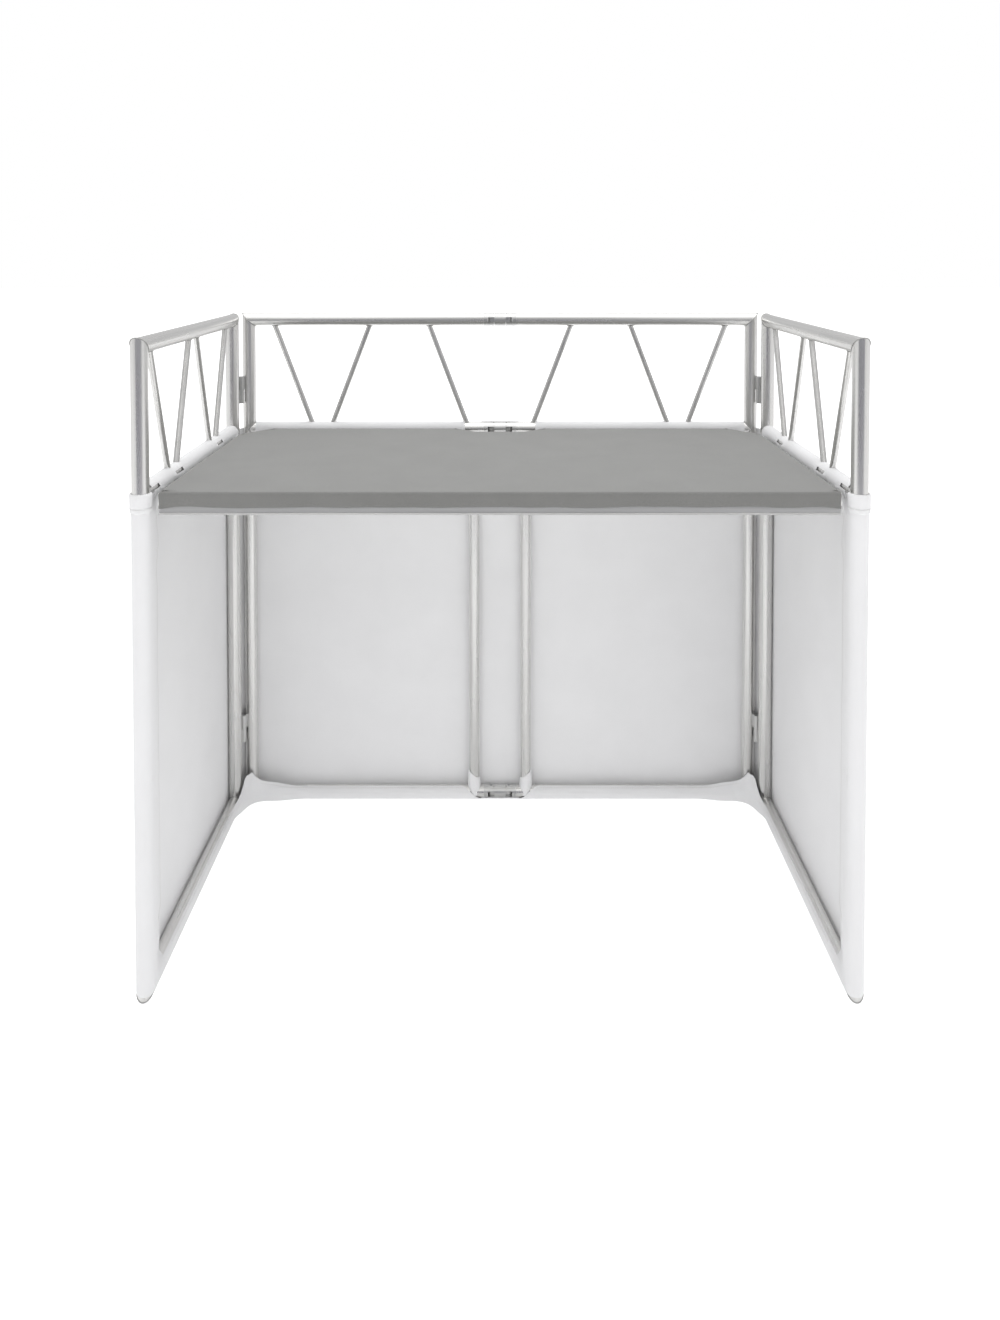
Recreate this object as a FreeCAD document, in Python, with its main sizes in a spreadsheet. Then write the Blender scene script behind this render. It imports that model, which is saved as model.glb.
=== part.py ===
import FreeCAD, Part
import os

# A folding booth: two wings and a front panel in two halves, each a flat frame of round
# aluminium tube with braced guards above the table, stretch scrims outside the frames, a
# felt-covered lift-out table, weld-on hinges at the corners and a double-pin link at the
# middle of each front rail.
# Millimetres. Z is up, the front faces +Y and the origin is on the floor, at the middle.
# The left side (-X) is modelled and mirrored in the plane X = 0.

Vector = FreeCAD.Vector
Rotation = FreeCAD.Rotation

SIZES = {
    "width": (1274, "overall width of the tube frames"),
    "depth": (666, "overall depth of the tube frames"),
    "table_height": (893, "floor to the top of the felt"),
    "guard_height": (269, "top of the felt to the top of the frames"),
    "rail_drop": (4, "top of the felt to the middle of the mid rails"),
    "tube_d": (30, "outside of the frame tube"),
    "tube_wall": (2, "wall of the frame tube"),
    "inner_post_d": (25, "outside of the inner post"),
    "inner_post_wall": (2, "wall of the inner post"),
    "inner_post_x": (61, "middle of the booth to the inner post"),
    "brace_d": (12, "outside of a guard brace"),
    "brace_wall": (1.5, "wall of a guard brace"),
    "end_brace_top": (46, "near post to the top of the first wing brace"),
    "end_brace_foot": (146, "near post to the foot of the first wing brace"),
    "inner_brace_foot": (185, "post to the foot of an inner wing brace"),
    "mid_brace_gap": (40, "between the tops of the two inner wing braces"),
    "far_brace_top": (56, "far post to the top of the last wing brace"),
    "far_brace_foot": (148, "far post to the foot of the last wing brace"),
    "front_brace_top": (56, "corner post to the top of the first front brace"),
    "front_brace_foot": (153, "corner post to the foot of the first front brace"),
    "front_second_foot": (192, "corner post to the foot of the second front brace"),
    "front_second_top": (290, "corner post to the top of the second front brace"),
    "centre_brace_foot": (74, "middle of the booth to the foot of the last front brace"),
    "centre_brace_top": (172, "middle of the booth to the top of the last front brace"),
    "fold_gap": (4, "between two tubes that lie side by side when folded"),
    "barrel_d": (13, "outside of a hinge barrel"),
    "barrel_len": (31, "length of one hinge barrel"),
    "barrel_gap": (0.4, "between the barrels of one hinge"),
    "hinge_pin_d": (6, "hinge pin"),
    "leaf_t": (5, "weld leaf between barrel and post"),
    "low_hinge_z": (179, "floor to the split of the low hinge"),
    "guard_hinge_rise": (94, "mid rail to the split of the guard hinge"),
    "run_fit": (0.05, "radial clearance of a turning pin"),
    "link_pitch": (42, "between the two pins of a centre link"),
    "link_pin_d": (6, "pin of a centre link"),
    "ear_r": (7, "round end of a fork ear or a link tongue"),
    "ear_gap": (0.5, "from a round end to what it turns in"),
    "slot_h": (12, "height of the slot between two ears"),
    "tongue_gap": (0.1, "above and below a tongue in its slot"),
    "fork_len": (17.5, "link pin to the end of the rail tube"),
    "spigot_len": (24, "fork spigot inside the rail tube"),
    "spigot_gap": (0.1, "radial gap of the spigot"),
    "fold_slack": (0.2, "kept off the 45 degree folding faces"),
    "pin_inset": (1, "link pin end to the tube outside"),
    "skin_t": (1.5, "scrim thickness"),
    "skin_gap": (0.3, "between scrim and tube"),
    "scrim_centre_x": (45, "middle of the booth to the end of a front scrim"),
    "table_side_gap": (13, "table edge to the wing tube"),
    "table_back_gap": (6, "table edge to the front tube"),
    "felt_t": (2, "felt thickness"),
    "board_t": (22, "board thickness"),
    "corner_dx": (62, "back corner cut, across"),
    "corner_dy": (70, "back corner cut, along"),
    "notch_mouth": (99, "half width of the back notch at the edge"),
    "notch_floor": (55, "half width of the back notch at its floor"),
    "notch_depth": (40, "depth of the back notch"),
    "strip_h": (16, "height of the edge strips"),
    "strip_t": (2, "wall of the edge strips"),
    "strip_lip": (3, "outward lip of the edge strips"),
    "strip_flange": (16, "screwed flange of the edge strips"),
    "strip_clear": (5, "end of a strip to its neighbour"),
    "screw_d": (3.5, "screw shank"),
    "screw_head_d": (8, "screw head"),
    "screw_head_h": (2, "height of the screw head"),
    "screw_bite": (12, "screw length in the board"),
    "screw_end": (60, "strip end to its first screw"),
    "ledge_len": (60, "length of one ledge"),
    "ledge_t": (3, "plate of a ledge"),
    "ledge_reach": (20, "how far a ledge goes under the table"),
    "ledge_offset": (110, "wing post to the nearest ledge"),
    "front_ledge_offset": (250, "corner post to the front ledge"),
    "seat_gap": (0.2, "table strip to the ledge it rests on"),
}

DOC = FreeCAD.newDocument("FoldingBooth")
SHEET = DOC.addObject("Spreadsheet::Sheet", "Sizes")
for row, (alias, (value, meaning)) in enumerate(SIZES.items(), start=1):
    SHEET.set(f"A{row}", meaning)
    SHEET.set(f"B{row}", str(value))
    SHEET.setAlias(f"B{row}", alias)
DOC.recompute()

# Places that several pieces share, as expressions on the sheet.
R = "(Sizes.tube_d / 2)"
SKIN_IN = "(Sizes.tube_d / 2 + Sizes.skin_gap)"
SKIN_OUT = "(Sizes.tube_d / 2 + Sizes.skin_gap + Sizes.skin_t)"
TOOL = "(4 * Sizes.tube_d)"
WING_X = "(-(Sizes.width - Sizes.tube_d) / 2)"
HINGE_DX = "Sizes.tube_d"
HINGE_DY = "(Sizes.tube_d + 2 * Sizes.fold_gap)"
CORNER_X = f"({WING_X} + {HINGE_DX})"
NEAR_Y = "(-(Sizes.depth - Sizes.tube_d) / 2)"
FRONT_Y = "((Sizes.depth - Sizes.tube_d) / 2)"
FAR_Y = f"({FRONT_Y} - {HINGE_DY})"
LOW_Z = SKIN_OUT
MID_Z = "(Sizes.table_height - Sizes.rail_drop)"
TOP_Z = "(Sizes.table_height + Sizes.guard_height - Sizes.tube_d / 2)"
RAIL_LEVELS = {"bottom": LOW_Z, "mid": MID_Z, "top": TOP_Z}
GUARD_HINGE_Z = f"({MID_Z} + Sizes.guard_hinge_rise)"
AXIS_X = f"({WING_X} + {HINGE_DX} / 2)"
AXIS_Y = f"({FAR_Y} + {HINGE_DY} / 2)"
PIN_X = "(-Sizes.link_pitch / 2)"
SLOT_R = "(Sizes.ear_r + Sizes.ear_gap)"
RAIL_END_X = f"({PIN_X} - Sizes.fork_len)"
TABLE_HALF = f"(-{WING_X} - {R} - Sizes.table_side_gap)"
TABLE_BACK = f"({FRONT_Y} - {R} - Sizes.table_back_gap)"
BOARD_TOP = "(Sizes.table_height - Sizes.felt_t)"
BOARD_UNDER = f"({BOARD_TOP} - Sizes.board_t)"
TABLE_UNDER = f"({BOARD_UNDER} - Sizes.strip_h)"

ALONG_X = Rotation(Vector(0, 1, 0), 90)
ALONG_Y = Rotation(Vector(1, 0, 0), -90)
ALONG_Z = Rotation()

NODES = []


def bind(piece, **expressions):
    for size, expression in expressions.items():
        piece.setExpression(size, expression)


def place(piece, x, y, z, turn=ALONG_Z):
    piece.Placement = FreeCAD.Placement(Vector(), turn)
    for axis, expression in (("x", x), ("y", y), ("z", z)):
        piece.setExpression(f"Placement.Base.{axis}", expression)


def cylinder(name, radius, length, x, y, z, turn=ALONG_Z):
    piece = DOC.addObject("Part::Cylinder", name)
    bind(piece, Radius=radius, Height=length)
    place(piece, x, y, z, turn)
    return piece


def box(name, length, width, height, x, y, z, turn=ALONG_Z):
    piece = DOC.addObject("Part::Box", name)
    bind(piece, Length=length, Width=width, Height=height)
    place(piece, x, y, z, turn)
    return piece


def cut(base, *tools):
    for tool in tools:
        piece = DOC.addObject("Part::Cut", f"{base.Name}_cut")
        piece.Base = base
        piece.Tool = tool
        base = piece
    return base


def common(base, tool):
    piece = DOC.addObject("Part::Common", f"{base.Name}_common")
    piece.Base = base
    piece.Tool = tool
    return piece


def fuse(*shapes):
    piece = DOC.addObject("Part::MultiFuse", f"{shapes[0].Name}_fuse")
    piece.Shapes = list(shapes)
    piece.Refine = True
    return piece


def node(label, *solids):
    """Gives a sub-part its label. Several solids become one group."""
    piece = solids[0]
    if len(solids) > 1:
        piece = DOC.addObject("Part::Compound", label)
        piece.Links = list(solids)
    piece.Label = label
    NODES.append(piece)
    return piece


def tube(name, outside, wall, length, x, y, z, turn=ALONG_Z):
    outer = cylinder(name, f"{outside} / 2", length, x, y, z, turn)
    bore = cylinder(f"{name}_bore", f"{outside} / 2 - {wall}", length, x, y, z, turn)
    return cut(outer, bore)


def frame_tube(name, length, x, y, z, turn=ALONG_Z):
    return tube(name, "Sizes.tube_d", "Sizes.tube_wall", length, x, y, z, turn)


def slanted_box(name, x, y, z, away, across):
    """A large box with one face through a point. It reaches from there in the direction away."""
    up = Vector(*away).normalize()
    side = Vector(*across)
    turn = Rotation(up.cross(side) * -1, side, up, "ZYX")
    shift = (turn.multVec(Vector(1, 0, 0)) + turn.multVec(Vector(0, 1, 0))) * 0.5
    corner = [f"{c} - ({d:.9f}) * {TOOL}" for c, d in zip((x, y, z), shift)]
    return box(name, TOOL, TOOL, TOOL, *corner, turn)


def wing_mitre(name, y, z, away_y, away_z):
    return slanted_box(name, WING_X, y, z, (0, away_y, away_z), (1, 0, 0))


def front_mitre(name, z, away_x, away_z):
    return slanted_box(name, CORNER_X, FRONT_Y, z, (away_x, 0, away_z), (0, 1, 0))


def wing_post_core(name, y):
    return cylinder(name, R, TOP_Z, WING_X, y, "0")


def wing_rail_core(name, z):
    return cylinder(name, R, f"{FAR_Y} - {NEAR_Y}", WING_X, NEAR_Y, z, ALONG_Y)


def front_rail_core(name, z):
    return cylinder(name, R, f"-{CORNER_X}", CORNER_X, FRONT_Y, z, ALONG_X)


def corner_post_core(name):
    return cylinder(name, R, TOP_Z, CORNER_X, FRONT_Y, "0")


def wing_frame():
    height = f"{TOP_Z} - {LOW_Z} + Sizes.tube_d"
    length = f"{FAR_Y} - {NEAR_Y} + Sizes.tube_d"
    for label, y, inward in (("near", NEAR_Y, 1), ("far", FAR_Y, -1)):
        post = frame_tube(f"{label}_post", height, WING_X, y, f"{LOW_Z} - {R}")
        low = wing_mitre(f"{label}_post_low", y, LOW_Z, inward, -1)
        high = wing_mitre(f"{label}_post_high", y, TOP_Z, inward, 1)
        node(f"left_wing_{label}_post", cut(post, low, high))
    for label, z, upward in (("bottom", LOW_Z, 1), ("top", TOP_Z, -1)):
        rail = frame_tube(f"wing_{label}", length, WING_X, f"{NEAR_Y} - {R}", z, ALONG_Y)
        near = wing_mitre(f"wing_{label}_near", NEAR_Y, z, -1, upward)
        far = wing_mitre(f"wing_{label}_far", FAR_Y, z, 1, upward)
        node(f"left_wing_{label}_rail", cut(rail, near, far))
    rail = frame_tube("wing_mid", f"{FAR_Y} - {NEAR_Y}", WING_X, NEAR_Y, MID_Z, ALONG_Y)
    cores = [wing_post_core("wing_mid_cope", y) for y in (NEAR_Y, FAR_Y)]
    node("left_wing_mid_rail", cut(rail, *cores))


def front_frame():
    height = f"{TOP_Z} - {LOW_Z} + Sizes.tube_d"
    post = frame_tube("corner_post", height, CORNER_X, FRONT_Y, f"{LOW_Z} - {R}")
    low = front_mitre("corner_post_low", LOW_Z, 1, -1)
    high = front_mitre("corner_post_high", TOP_Z, 1, 1)
    node("left_front_corner_post", cut(post, low, high))
    for label, z, upward in (("bottom", LOW_Z, 1), ("top", TOP_Z, -1)):
        length = f"{RAIL_END_X} - {CORNER_X} + {R}"
        rail = frame_tube(f"front_{label}", length, f"{CORNER_X} - {R}", FRONT_Y, z, ALONG_X)
        end = front_mitre(f"front_{label}_end", z, -1, upward)
        node(f"left_front_{label}_rail", cut(rail, end))
    length = f"{RAIL_END_X} - {CORNER_X}"
    rail = frame_tube("front_mid", length, CORNER_X, FRONT_Y, MID_Z, ALONG_X)
    node("left_front_mid_rail", cut(rail, corner_post_core("front_mid_cope")))
    post = tube("inner_post", "Sizes.inner_post_d", "Sizes.inner_post_wall",
                f"{MID_Z} - {LOW_Z}", "-Sizes.inner_post_x", FRONT_Y, LOW_Z)
    cores = [front_rail_core("inner_post_cope", z) for z in (LOW_Z, MID_Z)]
    node("left_front_inner_post", cut(post, *cores))


def brace_rod(name, radius, foot, top, front):
    """A rod from the middle of the mid rail to the middle of the top rail. foot and top are
    places along the rail, as expressions."""
    run = f"({top} - {foot})"
    rise = f"({TOP_Z} - {MID_Z})"
    rod = DOC.addObject("Part::Cylinder", name)
    bind(rod, Radius=radius, Height=f"sqrt({run} * {run} + {rise} * {rise})")
    lean = Vector(0, 1, 0) if front else Vector(-1, 0, 0)
    start = (foot, FRONT_Y, MID_Z) if front else (WING_X, foot, MID_Z)
    place(rod, *start, Rotation(lean, 20))
    rod.setExpression("Placement.Rotation.Angle", f"atan({run} / {rise})")
    return rod


WING_BRACES = [
    (f"{NEAR_Y} + Sizes.end_brace_foot", f"{NEAR_Y} + Sizes.end_brace_top"),
    (f"{NEAR_Y} + Sizes.inner_brace_foot", f"({NEAR_Y} + {FAR_Y} - Sizes.mid_brace_gap) / 2"),
    (f"{FAR_Y} - Sizes.inner_brace_foot", f"({NEAR_Y} + {FAR_Y} + Sizes.mid_brace_gap) / 2"),
    (f"{FAR_Y} - Sizes.far_brace_foot", f"{FAR_Y} - Sizes.far_brace_top"),
]
FRONT_BRACES = [
    (f"{CORNER_X} + Sizes.front_brace_foot", f"{CORNER_X} + Sizes.front_brace_top"),
    (f"{CORNER_X} + Sizes.front_second_foot", f"{CORNER_X} + Sizes.front_second_top"),
    ("(-Sizes.centre_brace_foot)", "(-Sizes.centre_brace_top)"),
]


def braces(label, places, front):
    core = front_rail_core if front else wing_rail_core
    solids = []
    for foot, top in places:
        rod = brace_rod(f"{label}_rod", "Sizes.brace_d / 2", f"({foot})", f"({top})", front)
        bore = brace_rod(f"{label}_bore", "Sizes.brace_d / 2 - Sizes.brace_wall",
                         f"({foot})", f"({top})", front)
        cope = [core(f"{label}_cope", z) for z in (MID_Z, TOP_Z)]
        solids.append(cut(rod, bore, *cope))
    node(label, *solids)


def knuckle(name, split, on_wing):
    """A hinge barrel with the leaf that is welded to its post. The wing has the lower one."""
    reach = f"sqrt({HINGE_DX} * {HINGE_DX} + {HINGE_DY} * {HINGE_DY})"
    base = f"{split} - Sizes.barrel_gap / 2 - Sizes.barrel_len" if on_wing else (
        f"{split} + Sizes.barrel_gap / 2")
    barrel = cylinder(name, "Sizes.barrel_d / 2", "Sizes.barrel_len", AXIS_X, AXIS_Y, base)
    side = 1 if on_wing else -1
    leaf = box(f"{name}_leaf", f"{reach} / 2", "Sizes.leaf_t", "Sizes.barrel_len",
               f"{AXIS_X} - {side} * Sizes.leaf_t / 2 * {HINGE_DY} / {reach}",
               f"{AXIS_Y} + {side} * Sizes.leaf_t / 2 * {HINGE_DX} / {reach}",
               base, Rotation(Vector(0, 0, 1), 50))
    half_turn = "180" if on_wing else "0"
    leaf.setExpression("Placement.Rotation.Angle",
                       f"{half_turn} + atan({HINGE_DY} / {HINGE_DX}) / 1deg")
    post = wing_post_core(f"{name}_post", FAR_Y) if on_wing else corner_post_core(f"{name}_post")
    hole_r = "Sizes.hinge_pin_d / 2" if on_wing else "Sizes.hinge_pin_d / 2 + Sizes.run_fit"
    hole = cylinder(f"{name}_hole", hole_r, "Sizes.barrel_len", AXIS_X, AXIS_Y, base)
    return cut(fuse(barrel, leaf), post, hole)


def hinges():
    splits = {"low": "Sizes.low_hinge_z", "guard": GUARD_HINGE_Z}
    wing = [knuckle(f"wing_{label}", z, True) for label, z in splits.items()]
    front = [knuckle(f"front_{label}", z, False) for label, z in splits.items()]
    length = "2 * Sizes.barrel_len - Sizes.pin_inset"
    pins = [cylinder(f"hinge_pin_{label}", "Sizes.hinge_pin_d / 2", length, AXIS_X, AXIS_Y,
                     f"{z} - Sizes.barrel_gap / 2 - Sizes.barrel_len")
            for label, z in splits.items()]
    node("left_wing_hinge_barrels", *wing)
    node("left_wing_hinge_pins", *pins)
    node("left_front_hinge_barrels", *front)


def fork(name, z):
    """The end piece of a front rail: two ears on the pin of the centre link. The side that
    faces +Y is cut at 45 degrees through the pin, so that the link can fold that way."""
    length = f"{PIN_X} + {SLOT_R} - Sizes.ear_gap - {RAIL_END_X}"
    barrel = cylinder(name, R, length, RAIL_END_X, FRONT_Y, z, ALONG_X)
    slack = "Sizes.fold_slack"
    fold = slanted_box(f"{name}_fold", f"{PIN_X} - {slack}", FRONT_Y, z, (1, 1, 0), (0, 0, 1))
    disc = cylinder(f"{name}_disc", "Sizes.ear_r", "Sizes.tube_d", PIN_X, FRONT_Y, f"{z} - {R}")
    around = cylinder(f"{name}_around", R, length, RAIL_END_X, FRONT_Y, z, ALONG_X)
    slot = box(f"{name}_slot", f"2 * {SLOT_R}", "2 * Sizes.tube_d", "Sizes.slot_h",
               f"{PIN_X} - {SLOT_R}", f"{FRONT_Y} - Sizes.tube_d", f"{z} - Sizes.slot_h / 2")
    hole = cylinder(f"{name}_hole", "Sizes.link_pin_d / 2", "Sizes.tube_d",
                    PIN_X, FRONT_Y, f"{z} - {R}")
    spigot = cylinder(f"{name}_spigot", f"{R} - Sizes.tube_wall - Sizes.spigot_gap",
                      "Sizes.spigot_len", f"{RAIL_END_X} - Sizes.spigot_len", FRONT_Y, z, ALONG_X)
    ears = fuse(cut(barrel, fold), common(disc, around), spigot)
    return cut(ears, slot, hole)


def link_pin(name, z):
    return cylinder(name, "Sizes.link_pin_d / 2", "Sizes.tube_d - 2 * Sizes.pin_inset",
                    PIN_X, FRONT_Y, f"{z} - {R} + Sizes.pin_inset")


def centre_link(name, z):
    """The middle piece of a front rail: a short round body with a tongue on each side."""
    end = f"({PIN_X} + {SLOT_R})"
    body = cylinder(name, R, f"-2 * {end}", end, FRONT_Y, z, ALONG_X)
    height = "(Sizes.slot_h - 2 * Sizes.tongue_gap)"
    folds = []
    tongues = []
    holes = []
    for side in (1, -1):
        pin = f"({side} * {PIN_X})"
        fold = slanted_box(f"{name}_fold", f"{pin} + {side} * Sizes.fold_slack", FRONT_Y, z,
                           (-side, 1, 0), (0, 0, 1))
        folds.append(fold)
        tongues.append(cylinder(f"{name}_tongue", "Sizes.ear_r", height,
                                pin, FRONT_Y, f"{z} - {height} / 2"))
        holes.append(cylinder(f"{name}_hole", "Sizes.link_pin_d / 2 + Sizes.run_fit",
                              "Sizes.tube_d", pin, FRONT_Y, f"{z} - {R}"))
    bar = box(f"{name}_bar", "Sizes.link_pitch", "2 * Sizes.ear_r", height,
              PIN_X, f"{FRONT_Y} - Sizes.ear_r", f"{z} - {height} / 2")
    return cut(fuse(cut(body, *folds), bar, *tongues), *holes)


def wing_scrim():
    """The scrim of a wing: an outside panel and the wraps round near post and rails."""
    face = f"{WING_X} - {SKIN_OUT}"
    panel = box("wing_panel", "Sizes.skin_t", f"{FAR_Y} + {R} - {NEAR_Y}", f"{MID_Z} - {LOW_Z}",
                face, NEAR_Y, LOW_Z)
    post_wrap = tube("post_wrap", f"(2 * {SKIN_OUT})", "Sizes.skin_t",
                     f"{MID_Z} - {LOW_Z} + {SKIN_OUT}", WING_X, NEAR_Y, f"{LOW_Z} - {SKIN_OUT}")
    behind = box("post_wrap_behind", TOOL, TOOL, f"{MID_Z} + {TOOL}",
                 f"{WING_X} - {TOOL} / 2", NEAR_Y, f"-{TOOL} / 2")
    length = f"({FAR_Y} + {R} - {NEAR_Y} + {SKIN_OUT})"
    low_wrap = tube("low_wrap", f"(2 * {SKIN_OUT})", "Sizes.skin_t", length,
                    WING_X, f"{NEAR_Y} - {SKIN_OUT}", LOW_Z, ALONG_Y)
    above = box("low_wrap_above", TOOL, f"{length} + {TOOL}", TOOL,
                f"{WING_X} - {TOOL} / 2", f"{NEAR_Y} - {TOOL} / 2", LOW_Z)
    top_wrap = tube("top_wrap", f"(2 * {SKIN_OUT})", "Sizes.skin_t", f"{FAR_Y} - {NEAR_Y}",
                    WING_X, NEAR_Y, MID_Z, ALONG_Y)
    below = box("top_wrap_below", TOOL, f"{length} + {TOOL}", TOOL,
                f"{WING_X} - {TOOL} / 2", f"{NEAR_Y} - {TOOL} / 2", f"{MID_Z} - {TOOL}")
    posts = [cylinder("top_wrap_post", radius, TOP_Z, WING_X, y, "0")
             for radius, y in ((f"{SKIN_OUT} + Sizes.skin_gap", NEAR_Y), (SKIN_IN, FAR_Y))]
    slits = [brace_rod("top_wrap_slit", "Sizes.brace_d / 2 + Sizes.skin_gap",
                       f"({foot})", f"({top})", False) for foot, top in WING_BRACES]
    node("left_wing_scrim", panel,
         cut(cut(post_wrap, behind), wing_mitre("post_wrap_mitre", NEAR_Y, LOW_Z, 1, -1)),
         cut(low_wrap, wing_mitre("low_wrap_mitre", NEAR_Y, LOW_Z, -1, 1), above),
         cut(top_wrap, below, *posts, *slits))


def front_scrim():
    """The scrim of a front half: an outside panel and the wraps round its rails."""
    start = f"({CORNER_X} - {R})"
    length = f"(-Sizes.scrim_centre_x - {start})"
    panel = box("front_panel", length, "Sizes.skin_t", f"{MID_Z} - {LOW_Z}",
                start, f"{FRONT_Y} + {SKIN_IN}", LOW_Z)
    low_wrap = tube("front_low_wrap", f"(2 * {SKIN_OUT})", "Sizes.skin_t", length,
                    start, FRONT_Y, LOW_Z, ALONG_X)
    above = box("front_low_above", f"{length} + {TOOL}", TOOL, TOOL,
                f"{start} - {TOOL} / 2", f"{FRONT_Y} - {TOOL} / 2", LOW_Z)
    top_wrap = tube("front_top_wrap", f"(2 * {SKIN_OUT})", "Sizes.skin_t", length,
                    start, FRONT_Y, MID_Z, ALONG_X)
    below = box("front_top_below", f"{length} + {TOOL}", TOOL, TOOL,
                f"{start} - {TOOL} / 2", f"{FRONT_Y} - {TOOL} / 2", f"{MID_Z} - {TOOL}")
    post = cylinder("front_top_post", SKIN_IN, TOP_Z, CORNER_X, FRONT_Y, "0")
    beyond = box("front_top_beyond", TOOL, TOOL, TOOL, f"{CORNER_X} - {TOOL}",
                 f"{FRONT_Y} - {TOOL} / 2", f"{MID_Z} - {TOOL} / 2")
    slits = [brace_rod("front_top_slit", "Sizes.brace_d / 2 + Sizes.skin_gap",
                       f"({foot})", f"({top})", True) for foot, top in FRONT_BRACES]
    node("left_front_scrim", panel, cut(low_wrap, above),
         cut(top_wrap, below, beyond, post, *slits))


def wing_ledge(name, start_y):
    """A welded angle under a wing's mid rail that the table rests on."""
    edge = f"({WING_X} - Sizes.ledge_t / 2)"
    top = f"({TABLE_UNDER} - Sizes.seat_gap)"
    tab = box(name, "Sizes.ledge_t", "Sizes.ledge_len", f"{MID_Z} - {top} + Sizes.ledge_t",
              edge, start_y, f"{top} - Sizes.ledge_t")
    shelf = box(f"{name}_shelf", f"-{TABLE_HALF} + Sizes.ledge_reach - {edge}",
                "Sizes.ledge_len", "Sizes.ledge_t", edge, start_y, f"{top} - Sizes.ledge_t")
    return cut(fuse(tab, shelf), wing_rail_core(f"{name}_cope", MID_Z))


def front_ledge(name, start_x):
    """A welded angle under a front mid rail that the table rests on."""
    top = f"({TABLE_UNDER} - Sizes.seat_gap)"
    inner = f"({TABLE_BACK} - Sizes.ledge_reach)"
    tab = box(name, "Sizes.ledge_len", "Sizes.ledge_t", f"{MID_Z} - {top} + Sizes.ledge_t",
              start_x, f"{FRONT_Y} - Sizes.ledge_t / 2", f"{top} - Sizes.ledge_t")
    shelf = box(f"{name}_shelf", "Sizes.ledge_len", f"{FRONT_Y} + Sizes.ledge_t / 2 - {inner}",
                "Sizes.ledge_t", start_x, inner, f"{top} - Sizes.ledge_t")
    return cut(fuse(tab, shelf), front_rail_core(f"{name}_cope", MID_Z))


def wedge(name, near, far, y_near, y_far, z, height):
    """A prism whose width changes from the pair near to the pair far between two places."""
    piece = DOC.addObject("Part::Wedge", name)
    bind(piece, Xmin=near[0], Xmax=near[1], X2min=far[0], X2max=far[1], Ymin=y_near, Ymax=y_far,
         Zmin=z, Z2min=z, Zmax=f"{z} + {height}", Z2max=f"{z} + {height}")
    return piece


def table_outline(name, inset, z, height):
    """A plate with the table's outline, smaller by inset all round."""
    half = f"({TABLE_HALF} - {inset})"
    near = f"({NEAR_Y} + {inset})"
    back = f"({TABLE_BACK} - {inset})"
    plate = box(name, f"2 * {half}", f"{back} - {near}", height, f"-{half}", near, z)
    cut_y = f"({back} - Sizes.corner_dy)"
    cut_x = f"({half} - Sizes.corner_dx)"
    right = wedge(f"{name}_right", (half, f"{half} + {TOOL}"), (cut_x, f"{half} + {TOOL}"),
                  cut_y, back, z, height)
    left = wedge(f"{name}_left", (f"-{half} - {TOOL}", f"-{half}"),
                 (f"-{half} - {TOOL}", f"-{cut_x}"), cut_y, back, z, height)
    floor = f"(Sizes.notch_floor + {inset})"
    mouth = f"(Sizes.notch_mouth + {inset})"
    notch = wedge(f"{name}_notch", (f"-{floor}", floor), (f"-{mouth}", mouth),
                  f"{back} - Sizes.notch_depth", back, z, height)
    return cut(plate, right, left, notch)


def strip(name, start, length, y_edge, inward, screws):
    """An edge strip along X: a web, a flange under the board and a lip along its foot. inward
    is 1 when the table lies on the +Y side. Returns the strip and its screws."""
    low = f"({y_edge} + ({inward}) * Sizes.strip_lip)"
    deep = "(Sizes.strip_t + Sizes.strip_flange)"

    def slab(part, from_edge, width, z, height):
        y = f"{y_edge} + {from_edge}" if inward > 0 else f"{y_edge} - {from_edge} - {width}"
        return box(f"{name}_{part}", length, width, height, start, y, z)

    web = slab("web", "Sizes.strip_lip", "Sizes.strip_t", TABLE_UNDER, "Sizes.strip_h")
    flange = slab("flange", "Sizes.strip_lip", deep, f"{BOARD_UNDER} - Sizes.strip_t",
                  "Sizes.strip_t")
    lip = slab("lip", "0", "(Sizes.strip_lip + Sizes.strip_t)", TABLE_UNDER, "Sizes.strip_t")
    row = f"({low} + ({inward}) * (Sizes.strip_t + Sizes.strip_flange / 2))"
    places = []
    for step in range(screws):
        share = f"{step} / {screws - 1}"
        x = f"({start} + Sizes.screw_end + ({length} - 2 * Sizes.screw_end) * {share})"
        places.append((x, row))
    return fuse(web, flange, lip), places


def side_strip(name, start, length, x_edge, inward, screws):
    """The same strip along Y. inward is 1 when the table lies on the +X side."""
    deep = "(Sizes.strip_t + Sizes.strip_flange)"

    def slab(part, from_edge, width, z, height):
        x = f"{x_edge} + {from_edge}" if inward > 0 else f"{x_edge} - {from_edge} - {width}"
        return box(f"{name}_{part}", width, length, height, x, start, z)

    web = slab("web", "Sizes.strip_lip", "Sizes.strip_t", TABLE_UNDER, "Sizes.strip_h")
    flange = slab("flange", "Sizes.strip_lip", deep, f"{BOARD_UNDER} - Sizes.strip_t",
                  "Sizes.strip_t")
    lip = slab("lip", "0", "(Sizes.strip_lip + Sizes.strip_t)", TABLE_UNDER, "Sizes.strip_t")
    row = f"({x_edge} + ({inward}) * (Sizes.strip_lip + Sizes.strip_t + Sizes.strip_flange / 2))"
    places = []
    for step in range(screws):
        share = f"{step} / {screws - 1}"
        y = f"({start} + Sizes.screw_end + ({length} - 2 * Sizes.screw_end) * {share})"
        places.append((row, y))
    return fuse(web, flange, lip), places


def screw(name, x, y):
    under = f"({BOARD_UNDER} - Sizes.strip_t)"
    head = cylinder(name, "Sizes.screw_head_d / 2", "Sizes.screw_head_h",
                    x, y, f"{under} - Sizes.screw_head_h")
    return fuse(head, shank(f"{name}_shank", x, y))


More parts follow.
